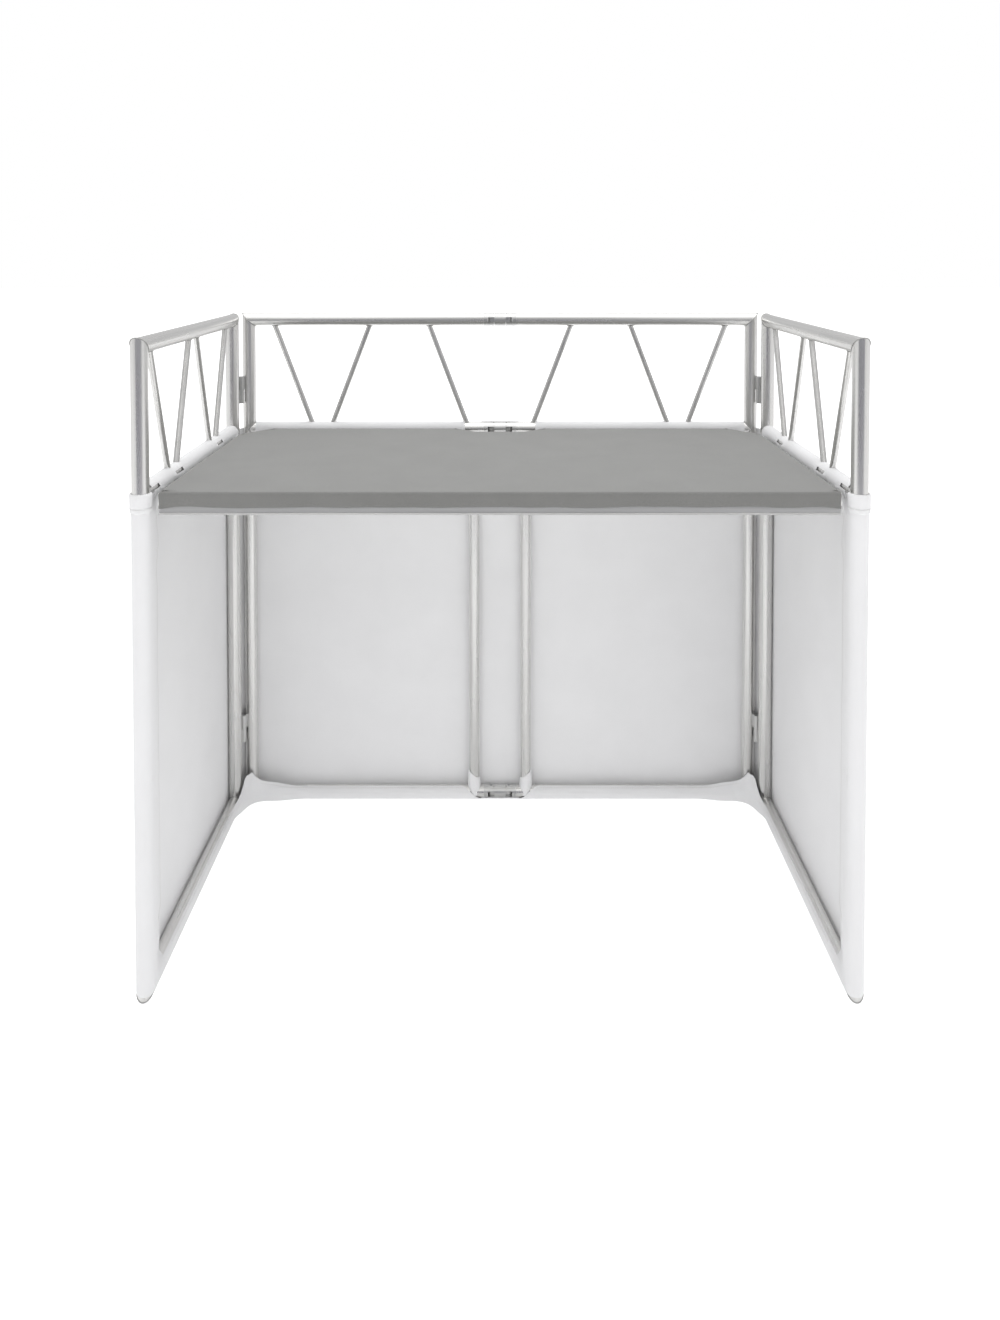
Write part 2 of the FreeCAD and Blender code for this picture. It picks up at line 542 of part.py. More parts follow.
def shank(name, x, y):
    return cylinder(name, "Sizes.screw_d / 2", "Sizes.screw_bite + Sizes.strip_t",
                    x, y, f"{BOARD_UNDER} - Sizes.strip_t")


def table():
    board = table_outline("board", "Sizes.felt_t", BOARD_UNDER, "Sizes.board_t")
    cover = table_outline("cover", "0", BOARD_UNDER, "(Sizes.board_t + Sizes.felt_t)")
    inside = table_outline("inside", "Sizes.felt_t", BOARD_UNDER, "Sizes.board_t")
    node("table_felt", cut(cover, inside))
    half = TABLE_HALF
    flange_end = "(Sizes.strip_lip + Sizes.strip_t + Sizes.strip_flange)"
    side_start = f"({NEAR_Y} + {flange_end} + Sizes.strip_clear)"
    side_length = f"({TABLE_BACK} - Sizes.corner_dy - Sizes.strip_clear - {side_start})"
    back_length = f"({half} - Sizes.corner_dx - Sizes.notch_mouth - 4 * Sizes.strip_clear)"
    back_start = f"(Sizes.notch_mouth + 2 * Sizes.strip_clear)"
    strips = {
        "table_front_strip": strip("front_strip", f"-({half} - Sizes.strip_lip)",
                                   f"2 * ({half} - Sizes.strip_lip)", NEAR_Y, 1, 6),
        "table_left_strip": side_strip("left_strip", side_start, side_length, f"-{half}", 1, 3),
        "table_right_strip": side_strip("right_strip", side_start, side_length, half, -1, 3),
        "table_back_left_strip": strip("back_left_strip", f"-({back_start} + {back_length})",
                                       back_length, TABLE_BACK, -1, 2),
        "table_back_right_strip": strip("back_right_strip", back_start, back_length,
                                        TABLE_BACK, -1, 2),
    }
    screws = []
    for label, (profile, places) in strips.items():
        holes = [shank(f"{label}_hole", x, y) for x, y in places]
        board = cut(board, *[shank(f"{label}_pilot", x, y) for x, y in places])
        screws += [screw(f"{label}_screw", x, y) for x, y in places]
        node(label, cut(profile, *holes))
    node("table_board", board)
    node("table_screws", *screws)


def mirror_left_side():
    for left in list(NODES):
        right = DOC.addObject("Part::Mirroring", left.Label.replace("left_", "right_"))
        right.Source = left
        right.Base = Vector(0, 0, 0)
        right.Normal = Vector(1, 0, 0)
        node(left.Label.replace("left_", "right_"), right)


def build():
    wing_frame()
    braces("left_wing_braces", WING_BRACES, False)
    wing_scrim()
    node("left_wing_ledges", wing_ledge("near_ledge", f"{NEAR_Y} + Sizes.ledge_offset"),
         wing_ledge("far_ledge", f"{FAR_Y} - Sizes.ledge_offset - Sizes.ledge_len"))
    front_frame()
    braces("left_front_braces", FRONT_BRACES, True)
    front_scrim()
    node("left_front_ledge", front_ledge("front_ledge", f"{CORNER_X} + Sizes.front_ledge_offset"))
    node("left_front_rail_forks", *[fork(f"{k}_fork", z) for k, z in RAIL_LEVELS.items()])
    node("left_front_link_pins", *[link_pin(f"{k}_pin", z) for k, z in RAIL_LEVELS.items()])
    hinges()
    mirror_left_side()
    for level, z in RAIL_LEVELS.items():
        node(f"centre_link_{level}", centre_link(f"{level}_link", z))
    table()


def check_and_write():
    """Writes a STEP file for each node, once every object of the document is sound."""
    DOC.recompute()
    for piece in DOC.Objects:
        if "Invalid" in piece.State or "Error" in piece.State:
            raise RuntimeError(f"{piece.Label} has failed: {piece.State}")
    for piece in NODES:
        if piece.Shape.isNull() or not piece.Shape.isValid() or not piece.Shape.Solids:
            raise RuntimeError(f"{piece.Label} has no valid solid")
    os.makedirs("parts", exist_ok=True)
    for piece in NODES:
        piece.Shape.exportStep(f"parts/{piece.Label}.step")
    print(len(NODES), "nodes")


build()
check_and_write()
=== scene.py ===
import math

import bmesh
import bpy
from bpy.props import FloatProperty, FloatVectorProperty, PointerProperty
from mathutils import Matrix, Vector, noise


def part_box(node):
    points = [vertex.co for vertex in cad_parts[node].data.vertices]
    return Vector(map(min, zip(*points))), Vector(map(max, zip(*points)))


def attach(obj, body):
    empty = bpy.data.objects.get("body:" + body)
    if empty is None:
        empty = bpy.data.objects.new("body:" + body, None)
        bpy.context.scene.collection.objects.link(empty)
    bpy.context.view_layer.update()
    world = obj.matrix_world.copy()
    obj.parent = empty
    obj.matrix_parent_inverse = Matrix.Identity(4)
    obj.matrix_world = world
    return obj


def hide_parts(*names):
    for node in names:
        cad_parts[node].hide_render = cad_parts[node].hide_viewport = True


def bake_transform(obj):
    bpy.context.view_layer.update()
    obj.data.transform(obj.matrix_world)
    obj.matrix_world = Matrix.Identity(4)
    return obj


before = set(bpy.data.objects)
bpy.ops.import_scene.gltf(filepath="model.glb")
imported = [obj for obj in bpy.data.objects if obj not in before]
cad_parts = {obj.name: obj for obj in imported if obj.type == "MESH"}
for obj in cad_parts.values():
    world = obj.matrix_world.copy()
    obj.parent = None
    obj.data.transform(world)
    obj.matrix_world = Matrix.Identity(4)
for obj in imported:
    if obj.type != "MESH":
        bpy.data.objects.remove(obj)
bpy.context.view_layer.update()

bl_info = {
    "name": "Folding Booth",
    "version": (1, 0, 0),
    "blender": (4, 5, 0),
    "location": "View3D > Sidebar > Booth",
    "description": "Dresses a folding booth: tube finish, welds, scrims, felt and stage",
    "category": "Object",
}


def middle(node):
    low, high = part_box(node)
    return (Vector(low) + Vector(high)) / 2


def half_size(node):
    low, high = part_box(node)
    return (Vector(high) - Vector(low)) / 2


# Places read from the frame, in metres. The left side is at -X and the front is at +Y.
TUBE_R = half_size("left_wing_mid_rail").z
NEAR = middle("left_wing_near_post")
FAR = middle("left_wing_far_post")
CORNER = middle("left_front_corner_post")
INNER = middle("left_front_inner_post")
TOP_Z = middle("left_front_top_rail").z
MID_Z = middle("left_front_mid_rail").z
LOW_Z = middle("left_front_bottom_rail").z
TABLE_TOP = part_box("table_felt")[1][2]
TABLE_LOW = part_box("table_felt")[0][2]
SCRIM_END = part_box("left_front_scrim")[1][0]
SIDES = {"left": 1, "right": -1}

# The cloth across the inside of a bottom corner: how far it reaches along the wing, where it
# bends and ends along the front, and the height of its peak beside the hinge.
WEB_REACH = 0.072
WEB_END = CORNER.x + 0.13
WEB_BEND = CORNER.x + 0.042
PEAK_Z = 0.044
PEAK_SHARE, PEAK_SPREAD = 0.40, 0.12
BEND_SHARE = 0.68
FLOOR_SHARE = 0.3
# The flap lies this far inside the middle of the outer cloth.
FLAP_GAP = 0.0016
# The cloth gapes beside the brace feet: where on the wing's braces, and the slits' sizes.
BRACE_FEET = (0.235, 0.78)
SLIT_HALF, SLIT_GAPE, GAPE_HALF = 0.021, 0.0032, 0.032
SLIT_TURN = math.radians(146), math.radians(168)
GAPE_TURN = math.radians(160)
# The mid rail is bare from here to the centre link.
BARE_END = -0.083
CENTRE_TURN = math.radians(150)
CORNER_SAG, CORNER_SAG_REACH = 0.0035, 0.035
# The felt's outline beside the strips, and the slanted sides of the notch at its back edge.
STRIP_INSET, STRIP_END_GAP = 0.010, 0.005
NOTCH_RUN, NOTCH_DEPTH = 0.044, 0.040
FELT_THICKNESS = 0.0016
TOP_ROLL_ROWS = 30
CLOTH_CREASE = math.radians(50)
STRIP_CREASE = math.radians(35)

BRACE_R = 0.0063
BRACE_END_BAND = 0.006
SEAM_PROUD = 0.0002
HEM_STITCH_LINE = 0.9
HEM_STITCH_BACK = 0.22
THREAD_WIDTH = 0.0009

# The grey card, and the light of the studio's walls from -X round by -Y, +X and +Y back to
# -X: (share of the way round, strength).
CARD_Y, CARD_HALF, CARD_TOP = -2.7, 2.0, 1.15
WALLS = ((0.0, 1.0), (0.06, 1.25), (0.12, 0.45), (0.17, 0.55), (0.2, 0.82), (0.30, 0.82),
         (0.33, 0.5), (0.38, 0.45), (0.44, 1.25), (0.50, 1.0), (0.56, 0.6), (0.64, 1.3),
         (0.75, 1.05), (0.86, 1.3), (0.94, 0.6), (1.0, 1.0))
ZENITH = 2.25
STUDIO_STRENGTH = 0.51
# name, place, what it is aimed at, width in metres, power in watts
LAMPS = (("key_softbox", (-1.6, -3.4, 3.6), (0, 0, 0.5), 2.4, 6),
         ("fill_softbox", (2.2, -3.0, 2.6), (0, 0, 0.5), 2.4, 4),
         ("top_softbox", (0, 0.4, 4.2), (0, 0, 0), 3.0, 34),
         ("low_softbox", (0, -0.28, 0.02), (0, 0.32, 0.12), 0.9, 0.9))


# ---------------------------------------------------------------- settings

def length_setting(name, description, default, low=0.0):
    return FloatProperty(name=name, description=description, unit="LENGTH", default=default,
                         min=low)


def angle_setting(name, description, degrees):
    return FloatProperty(name=name, description=description, subtype="ANGLE",
                         default=math.radians(degrees))


class BoothFrameSettings(bpy.types.PropertyGroup):
    tube_colour: FloatVectorProperty(
        name="Tube colour", description="Bare extruded aluminium", subtype="COLOR",
        size=3, min=0, max=1, default=(0.87, 0.865, 0.85))
    streak_pitch: length_setting("Die line pitch", "Spacing of the die lines across a tube",
                                 0.0022, 0.0005)
    bead_pitch: length_setting("Weld ripple pitch", "Spacing of the ripples of a weld",
                               0.0026, 0.0008)
    bead_width: length_setting("Weld width", "Width of a weld bead", 0.0036, 0.001)


class BoothScrimSettings(bpy.types.PropertyGroup):
    cloth_gap: length_setting("Cloth gap", "Tube to the middle of the cloth", 0.0011, 0.0006)
    cloth_thickness: length_setting("Cloth thickness", "Thickness of the stretch knit",
                                    0.0008, 0.0003)
    flap_width: length_setting("Flap width", "Cloth that is turned back inside a near post",
                               0.123, 0.02)
    hem_turn: angle_setting("Low hem", "How far the cloth goes round a bottom rail", 236)
    top_turn: angle_setting("Top hem", "How far the cloth goes round a mid rail", 205)
    wrinkle: length_setting("Wrinkles", "Height of the wrinkles at the hems", 0.0011)
    stitch_pitch: length_setting("Stitch pitch", "Spacing of the hem stitches", 0.0045, 0.001)


class BoothTableSettings(bpy.types.PropertyGroup):
    edge_round: length_setting("Edge round", "Radius of the felt over the board's edge",
                               0.005, 0.001)
    corner_round: length_setting("Corner round", "Radius of the felt at the table's corners",
                                 0.008, 0.001)
    hem_wave: length_setting("Hem wave", "Height of the waves along the felt's lower edge",
                             0.0026)


class BoothStageSettings(bpy.types.PropertyGroup):
    floor_size: length_setting("Floor size", "Width of the floor", 60)
    lens: FloatProperty(name="Lens", description="Focal length on a 36 mm long side",
                        default=27.24)
    eye_distance: length_setting("Eye distance", "Camera to the middle of the booth", 2.0342)
    eye_height: length_setting("Eye height", "Camera above the floor", 1.3159)
    tilt: angle_setting("Tilt", "How far the camera looks down", 1.686)
    shift: FloatProperty(name="Shift", description="Vertical lens shift", default=-0.29)


# ---------------------------------------------------------------- node helpers

def linear(hex_colour):
    """An sRGB hex colour as linear values with a full alpha."""
    channels = [int(hex_colour[i:i + 2], 16) / 255 for i in (1, 3, 5)]
    out = [c / 12.92 if c <= 0.04045 else ((c + 0.055) / 1.055) ** 2.4 for c in channels]
    return (*out, 1.0)


def add_node(tree, kind, links=(), **settings):
    """Adds a node. A setting that names an input sets it; any other sets the node's own
    property. links are (input, output socket) pairs."""
    item = tree.nodes.new(kind)
    for key, value in settings.items():
        name = key.replace("_", " ")
        if hasattr(item, key):
            setattr(item, key, value)
        else:
            socket = next(s for s in item.inputs if s.name.lower() == name.lower())
            socket.default_value = value
    for target, source in links:
        tree.links.new(source, item.inputs[target])
    return item


def object_place(tree):
    return add_node(tree, "ShaderNodeTexCoord").outputs["Object"]


def noise_fac(tree, place, **settings):
    return add_node(tree, "ShaderNodeTexNoise", [("Vector", place)],
                    **settings).outputs["Fac"]


def two_tones(tree, fac, dark, light, ends=(0.0, 1.0)):
    """A colour that runs from dark to light between two values of fac."""
    ramp = add_node(tree, "ShaderNodeValToRGB", [("Fac", fac)])
    for element, colour, place in zip(ramp.color_ramp.elements, (dark, light), ends):
        element.color = colour
        element.position = place
    return ramp.outputs["Color"]


def remap(tree, value, **ends):
    return add_node(tree, "ShaderNodeMapRange", [("Value", value)], **ends).outputs[0]


def maths(tree, operation, first, second):
    """The result of an operation on two sockets, or on a socket and a number."""
    item = add_node(tree, "ShaderNodeMath", [(0, first)], operation=operation)
    if isinstance(second, float):
        item.inputs[1].default_value = second
    else:
        tree.links.new(second, item.inputs[1])
    return item.outputs[0]


def bump_normal(tree, height, strength, distance, under=()):
    return add_node(tree, "ShaderNodeBump", [("Height", height), *under],
                    Strength=strength, Distance=distance).outputs[0]


def new_material(name):
    material = bpy.data.materials.new(name)
    material.use_nodes = True
    tree = material.node_tree
    return material, tree, tree.nodes["Principled BSDF"]


def set_shader(tree, shader, **values):
    """Sets the shader's inputs: a value is a number, a colour or a socket to link."""
    for key, value in values.items():
        target = shader.inputs[key.replace("_", " ")]
        if isinstance(value, bpy.types.NodeSocket):
            tree.links.new(value, target)
        else:
            target.default_value = value


# ---------------------------------------------------------------- materials

def extruded_aluminium(name, along, colour, pitch, gloss_range=(0.22, 0.33)):
    """Bare extruded aluminium tube. The die draws long faint lines along it and handling
    clouds it, so the gloss is streaky along the tube and even round it."""
    material, tree, shader = new_material(name)
    place = object_place(tree)

    def stretched(across_scale, along_scale):
        scale = [across_scale] * 3
        scale["xyz".index(along)] = along_scale
        return add_node(tree, "ShaderNodeMapping", [("Vector", place)], Scale=scale).outputs[0]

    lines = noise_fac(tree, stretched(0.25 / pitch, 1.6), Scale=1.0, Detail=3.0, Roughness=0.6)
    cloud = noise_fac(tree, stretched(60.0, 3.0), Scale=1.0, Detail=2.0)
    dark = (*[c * 0.86 for c in colour], 1)
    set_shader(tree, shader, Metallic=1.0,
               Base_Color=two_tones(tree, lines, dark, (*colour, 1), (0.32, 0.68)),
               Roughness=remap(tree, cloud, To_Min=gloss_range[0], To_Max=gloss_range[1]),
               Normal=bump_normal(tree, lines, 0.06, 0.0001))
    return material


def machined_metal(name, tint, roughness, grain):
    """Turned or milled metal: fine tool marks, brighter than drawn tube."""
    material, tree, shader = new_material(name)
    marks = noise_fac(tree, object_place(tree), Scale=1.0 / grain, Detail=4.0, Roughness=0.7)
    set_shader(tree, shader, Metallic=1.0,
               Base_Color=two_tones(tree, marks, linear(tint[0]), linear(tint[1])),
               Roughness=remap(tree, marks, To_Min=roughness * 0.8, To_Max=roughness * 1.25),
               Normal=bump_normal(tree, marks, 0.25, 0.0002))
    return material


def stretch_knit(name):
    """White polyester-elastane knit. It is matt with a soft sheen and fine wales, drawn here
    at 1.6 mm because the real 0.4 mm would not show."""
    material, tree, shader = new_material(name)
    place = add_node(tree, "ShaderNodeTexCoord")
    wales, courses = (
        add_node(tree, "ShaderNodeTexWave", [("Vector", place.outputs["UV"])],
                 wave_type="BANDS", bands_direction=direction, Scale=scale,
                 Distortion=distortion, Detail=1.0).outputs["Fac"]
        for direction, scale, distortion in (("X", 100.0, 0.6), ("Y", 140.0, 0.8)))
    knit = maths(tree, "MULTIPLY", wales, courses)
    slub = noise_fac(tree, place.outputs["Object"], Scale=9.0, Detail=4.0)
    soft = noise_fac(tree, place.outputs["Object"], Scale=26.0, Detail=3.0, Roughness=0.55)
    folds = bump_normal(tree, soft, 0.05, 0.003)
    set_shader(tree, shader,
               Base_Color=two_tones(tree, slub, linear("#eeeeef"), linear("#f6f6f7")),
               Normal=bump_normal(tree, knit, 0.22, 0.0003, [("Normal", folds)]),
               Roughness=0.88, Sheen_Weight=0.25, Sheen_Roughness=0.5,
               Specular_IOR_Level=0.3)
    return material


def wool_felt(name):
    """Grey needled felt: no weave, short tangled fibres and faint flecks."""
    material, tree, shader = new_material(name)
    place = object_place(tree)
    fibres = noise_fac(tree, place, Scale=620.0, Detail=5.0, Roughness=0.75)
    cloud = noise_fac(tree, place, Scale=14.0, Detail=3.0)
    mixed = maths(tree, "ADD", fibres, maths(tree, "MULTIPLY", cloud, 0.22))
    tone = remap(tree, mixed, From_Min=0.3, From_Max=0.92)
    set_shader(tree, shader,
               Base_Color=two_tones(tree, tone, linear("#6f6f6d"), linear("#8f8f8d")),
               Normal=bump_normal(tree, fibres, 0.5, 0.0006),
               Roughness=0.95, Sheen_Weight=0.4, Sheen_Roughness=0.6,
               Specular_IOR_Level=0.2)
    return material


def laminate_board(name):
    """White melamine-faced board: hard and smooth, with a faint pressed texture."""
    material, tree, shader = new_material(name)
    grain = noise_fac(tree, object_place(tree), Scale=420.0, Detail=4.0, Roughness=0.6)
    set_shader(tree, shader, Roughness=0.45,
               Base_Color=two_tones(tree, grain, linear("#dededb"), linear("#ececea")),
               Normal=bump_normal(tree, grain, 0.2, 0.0003))
    return material


def sewing_thread(name):
    """Spun polyester thread, a shade darker than the cloth."""
    material, tree, shader = new_material(name)
    twist = add_node(tree, "ShaderNodeTexWave", [("Vector", object_place(tree))], Scale=900.0)
    set_shader(tree, shader, Roughness=0.7, Base_Color=two_tones(
        tree, twist.outputs["Fac"], linear("#c9c9c5"), linear("#e2e2de")))
    return material


def painted_floor(name):
    """Matt white studio floor, lit from below like a light table. It sheds less light on
    the booth than it shows, so that the booth's own shading stays."""
    material, tree, shader = new_material(name)
    mottle = noise_fac(tree, object_place(tree), Scale=3.0, Detail=3.0)
    path = add_node(tree, "ShaderNodeLightPath")
    glow = remap(tree, path.outputs["Is Camera Ray"], To_Min=0.27, To_Max=0.7)
    matt = remap(tree, path.outputs["Is Glossy Ray"], To_Min=1.0, To_Max=0.0)
    set_shader(tree, shader, Roughness=0.9, Specular_IOR_Level=0.1,
               Base_Color=two_tones(tree, mottle, linear("#fbfbfb"), linear("#ffffff")),
               Emission_Color=(1.0, 1.0, 1.0, 1.0),
               Emission_Strength=maths(tree, "MULTIPLY", glow, matt))
    return material


def grey_card(name):
    """Grey card that only shows as a soft reflection in the tubes."""
    material, tree, shader = new_material(name)
    mottle = noise_fac(tree, object_place(tree), Scale=2.0)
    set_shader(tree, shader, Roughness=1.0, Specular_IOR_Level=0.0,
               Base_Color=two_tones(tree, mottle, linear("#83838a"), linear("#929299")))
    return material


MATERIALS = {}


def make_materials():
    settings = bpy.context.scene.booth_frame
    colour, pitch = tuple(settings.tube_colour), settings.streak_pitch
    for along in "xyz":
        name = f"extruded_aluminium_{along}"
        MATERIALS[name] = extruded_aluminium(name, along, colour, pitch)
    MATERIALS["strip_aluminium"] = extruded_aluminium(
        "strip_aluminium", "x", linear("#dededd")[:3], pitch, (0.40, 0.52))
    for name, *look in (("milled_aluminium", ("#c6c6c6", "#e4e4e2"), 0.3, 0.0008),
                        ("weld_aluminium", ("#9c9c9a", "#c9c9c7"), 0.42, 0.0012),
                        ("zinc_steel", ("#8f9194", "#b9bbbd"), 0.3, 0.0009)):
        MATERIALS[name] = machined_metal(name, *look)
    for make in (stretch_knit, wool_felt, laminate_board, sewing_thread, painted_floor,
                 grey_card):
        MATERIALS[make.__name__] = make(make.__name__)


# ---------------------------------------------------------------- mesh helpers

def smooth_object(name, mesh):
    for face in mesh.polygons:
        face.use_smooth = True
    piece = bpy.data.objects.new(name, mesh)
    bpy.context.scene.collection.objects.link(piece)
    return piece


def mesh_object(name, bm, material):
    mesh = bpy.data.meshes.new(name)
    bm.to_mesh(mesh)
    bm.free()
    mesh.materials.append(MATERIALS[material])
    return smooth_object(name, mesh)


def add_grid(bm, rows, skip=None):
    """Quads between rows of points. UVs run in metres along and across. skip(i, j) leaves a
    face out, for an opening."""
    uv_layer = bm.loops.layers.uv.verify()
    verts = [[bm.verts.new(p) for p in row] for row in rows]
    along = [0.0]
    for a, b in zip(rows[0], rows[0][1:]):
        along.append(along[-1] + (Vector(b) - Vector(a)).length)
    across = [0.0]
    middle_column = len(rows[0]) // 2
    for a, b in zip(rows, rows[1:]):
        step = (Vector(b[middle_column]) - Vector(a[middle_column])).length
        across.append(across[-1] + step)
    for i in range(len(rows) - 1):
        for j in range(len(rows[0]) - 1):
            if skip and skip(i, j):
                continue
            corners = [(i, j), (i, j + 1), (i + 1, j + 1), (i + 1, j)]
            face = bm.faces.new([verts[r][c] for r, c in corners])
            for loop, (r, c) in zip(face.loops, corners):
                loop[uv_layer].uv = (along[c], across[r])


def evaluated_mesh(carrier):
    graph = bpy.context.evaluated_depsgraph_get()
    return bpy.data.meshes.new_from_object(carrier.evaluated_get(graph))


def thickened(piece, thickness, offset):
    """Gives a single skin its thickness and sharpens the creases of the plain mesh."""
    solid = piece.modifiers.new("thickness", "SOLIDIFY")
    solid.thickness = thickness
    solid.offset = offset
    mesh = evaluated_mesh(piece)
    piece.modifiers.clear()
    piece.data = mesh
    piece.data.set_sharp_from_angle(angle=CLOTH_CREASE)


def mirrored(bm, side):
    """Turns the left piece into the right one."""
    if side < 0:
        bmesh.ops.scale(bm, vec=(-1, 1, 1), verts=bm.verts)
        bmesh.ops.reverse_faces(bm, faces=bm.faces)
    return bm


def spread(start, end, count):
    return [start + (end - start) * i / (count - 1) for i in range(count)]


def ease(t):
    t = min(1.0, max(0.0, t))
    return t * t * (3 - 2 * t)


# ---------------------------------------------------------------- scrim

def cloth_radius():
    return TUBE_R + bpy.context.scene.booth_scrim.cloth_gap


def wrinkled(point, normal, amount, seed=0.0):
    """A point moved along a normal by a soft wrinkle."""
    where = Vector((point.x * 22, point.y * 22, point.z * 16 + seed))
    return point + normal * (noise.noise(where) * amount)


def round_post(post, start, end, count):
    """The cloth round a post seen from above: points and outward normals."""
    normals = [Vector((math.cos(a), math.sin(a), 0)) for a in spread(start, end, count)]
    return [(Vector((post.x, post.y, 0)) + out * cloth_radius(), out) for out in normals]


def plan_path():
    """The cloth seen from above, from the near post's inner side round it, along the wing,
    over both corner posts and along the front: points and outward normals."""
    r = cloth_radius()
    path = round_post(NEAR, 0.0, -math.pi, 25)
    for y in spread(NEAR.y, FAR.y, 44)[1:-1]:
        path.append((Vector((NEAR.x - r, y, 0)), Vector((-1, 0, 0))))
    between = Vector((CORNER.x - FAR.x, CORNER.y - FAR.y, 0))
    turn = math.atan2(between.x, -between.y)
    path += round_post(FAR, math.pi, turn, 7)
    out = Vector((math.cos(turn), math.sin(turn), 0))
    for share in (0.25, 0.5, 0.75):
        path.append((Vector((FAR.x, FAR.y, 0)) + between * share + out * r, out))
    path += round_post(CORNER, turn, math.pi / 2, 7)
    for x in front_stations()[1:]:
        path.append((Vector((x, CORNER.y + r, 0)), Vector((0, 1, 0))))
    return path


def rolled(p, out, angle, over_mid_rail=False):
    """A place of the cloth rolled under the bottom rail, or over the mid rail."""
    r = cloth_radius()
    rise = r * math.sin(angle)
    z = MID_Z + rise if over_mid_rail else LOW_Z - rise
    return p - out * (r * (1 - math.cos(angle))) + Vector((0, 0, z))


def outer_rows(path):
    """The outside of the cloth, from the line under the bottom rail up to the line beside the
    mid rail. The bottom is rolled in by a quarter turn."""
    wrinkle = bpy.context.scene.booth_scrim.wrinkle
    rows = [[rolled(p, out, angle) for p, out in path]
            for angle in spread(math.pi / 2, 0.0, 7)[:-1]]
    for z in spread(LOW_Z, MID_Z, 62):
        near_hem = max(0.0, 1 - (MID_Z - z) / 0.09) + max(0.0, 1 - (z - LOW_Z) / 0.06)
        rows.append([wrinkled(p + Vector((0, 0, z)), -out, wrinkle * 0.8 * near_hem)
                     for p, out in path])
    return rows


def top_roll_rows(path, gape=None):
    """Cloth rolled over a mid rail. gape(point, angle) lifts the cloth off the rail."""
    settings = bpy.context.scene.booth_scrim
    rows = []
    for share in spread(0.0, 1.0, TOP_ROLL_ROWS):
        angle = settings.top_turn * share
        row = []
        for p, out in path:
            point = rolled(p, out, angle, over_mid_rail=True)
            radial = Vector((out.x * math.cos(angle), out.y * math.cos(angle),
                             math.sin(angle)))
            lift = settings.wrinkle * 1.2 * max(0.0, share - 0.35)
            point += radial * (lift * 0.6 + (gape(point, angle) if gape else 0.0))
            row.append(wrinkled(point, radial, lift, 7.0))
        rows.append(row)
    return rows


def rail_side(z, wall):
    """How far in the cloth lies at a height: round the rails, and back at the panel between."""
    r = cloth_radius()
    near = min(abs(z - LOW_Z), abs(z - MID_Z))
    round_rail = NEAR.x + math.sqrt(max(0.0, r * r - near * near))
    back = ease((near - r * 0.75) / 0.05)
    return max(wall, round_rail) * (1 - back) + wall * back


def flap_place(z, share):
    """A place of the cloth that comes round a near post and is turned back inside the wing."""
    settings = bpy.context.scene.booth_scrim
    r = cloth_radius()
    wall = NEAR.x - r + FLAP_GAP
    high = ease((z - 0.70) / 0.08)
    slant = ease((0.095 - z) / 0.08) * 0.066 + ease((z - MID_Z + 0.05) / 0.05) * 0.05
    edge = (NEAR.y + settings.flap_width - slant + (0.0025 + 0.010 * high)
            * noise.noise(Vector((0, 0, z * (20 + 10 * high)))))
    y = NEAR.y + (edge - NEAR.y) * share
    back = ease((share - 0.02) * 1.05)
    x = (NEAR.x + r) * (1 - back) + rail_side(z, wall) * back
    curl = 0.6 + noise.noise(Vector((share * 2.0, z * 30, 3.1)))
    x += settings.wrinkle * share * share * curl * (1.2 + 2.6 * high) + 0.0004 * share
    return Vector((x, y, z))


def flap_rows():
    top = MID_Z - 0.001
    return [[flap_place(z, share) for share in spread(0.0, 1.0, 14)]
            for z in spread(LOW_Z, top, 90)]


def wing_slits():
    """Places along the wing's mid rail where the cloth gapes beside the brace feet."""
    low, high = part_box("left_wing_braces")
    span = high[1] - low[1]
    return [NEAR.y + TUBE_R + 0.012] + [low[1] + span * share for share in BRACE_FEET]


def corner_share(point):
    """How far along the inside corner a place on the outline is, from 0 on the wing to 1 on
    the front. Outside the corner it is below 0 or above 1."""
    run_wing = WEB_REACH + TUBE_R
    total = run_wing + WEB_END - (CORNER.x - TUBE_R)
    if point.x < CORNER.x - TUBE_R:
        return (min(point.y, FAR.y + TUBE_R) - (FAR.y - WEB_REACH)) / total
    return (run_wing + point.x - (CORNER.x - TUBE_R)) / total


def web_point(share):
    """The plan curve where the cloth cuts across the inside of the corner."""
    r = cloth_radius()
    a = Vector((FAR.x + r, FAR.y - WEB_REACH, 0))
    c = Vector((FAR.x + r, CORNER.y - r, 0))
    b = Vector((WEB_BEND, CORNER.y - r, 0))
    end = Vector((WEB_END, CORNER.y - r, 0))
    if share > BEND_SHARE:
        return b.lerp(end, (share - BEND_SHARE) / (1 - BEND_SHARE))
    t = share / BEND_SHARE
    return a * (1 - t) ** 2 + c * (2 * t * (1 - t)) + b * t ** 2


def hem_height(share):
    """Height of the cloth's free edge along the inside corner: a peak beside the hinge, and a
    long slope from it along the front."""
    peak = PEAK_Z * math.exp(-((share - PEAK_SHARE) / PEAK_SPREAD) ** 2)
    slope = 0.032 * ease((share - 0.3) / 0.12) * max(0.0, 1.15 - share)
    return LOW_Z + TUBE_R * 0.88 + max(peak, slope + 0.35 * peak)


def off_rail(point, on_front):
    """Keeps a point of the cloth outside the bottom rail."""
    r = cloth_radius()
    axis = Vector((point.x, CORNER.y, LOW_Z)) if on_front else Vector((FAR.x, point.y, LOW_Z))
    away = point - axis
    return axis + away.normalized() * r if away.length < r else point


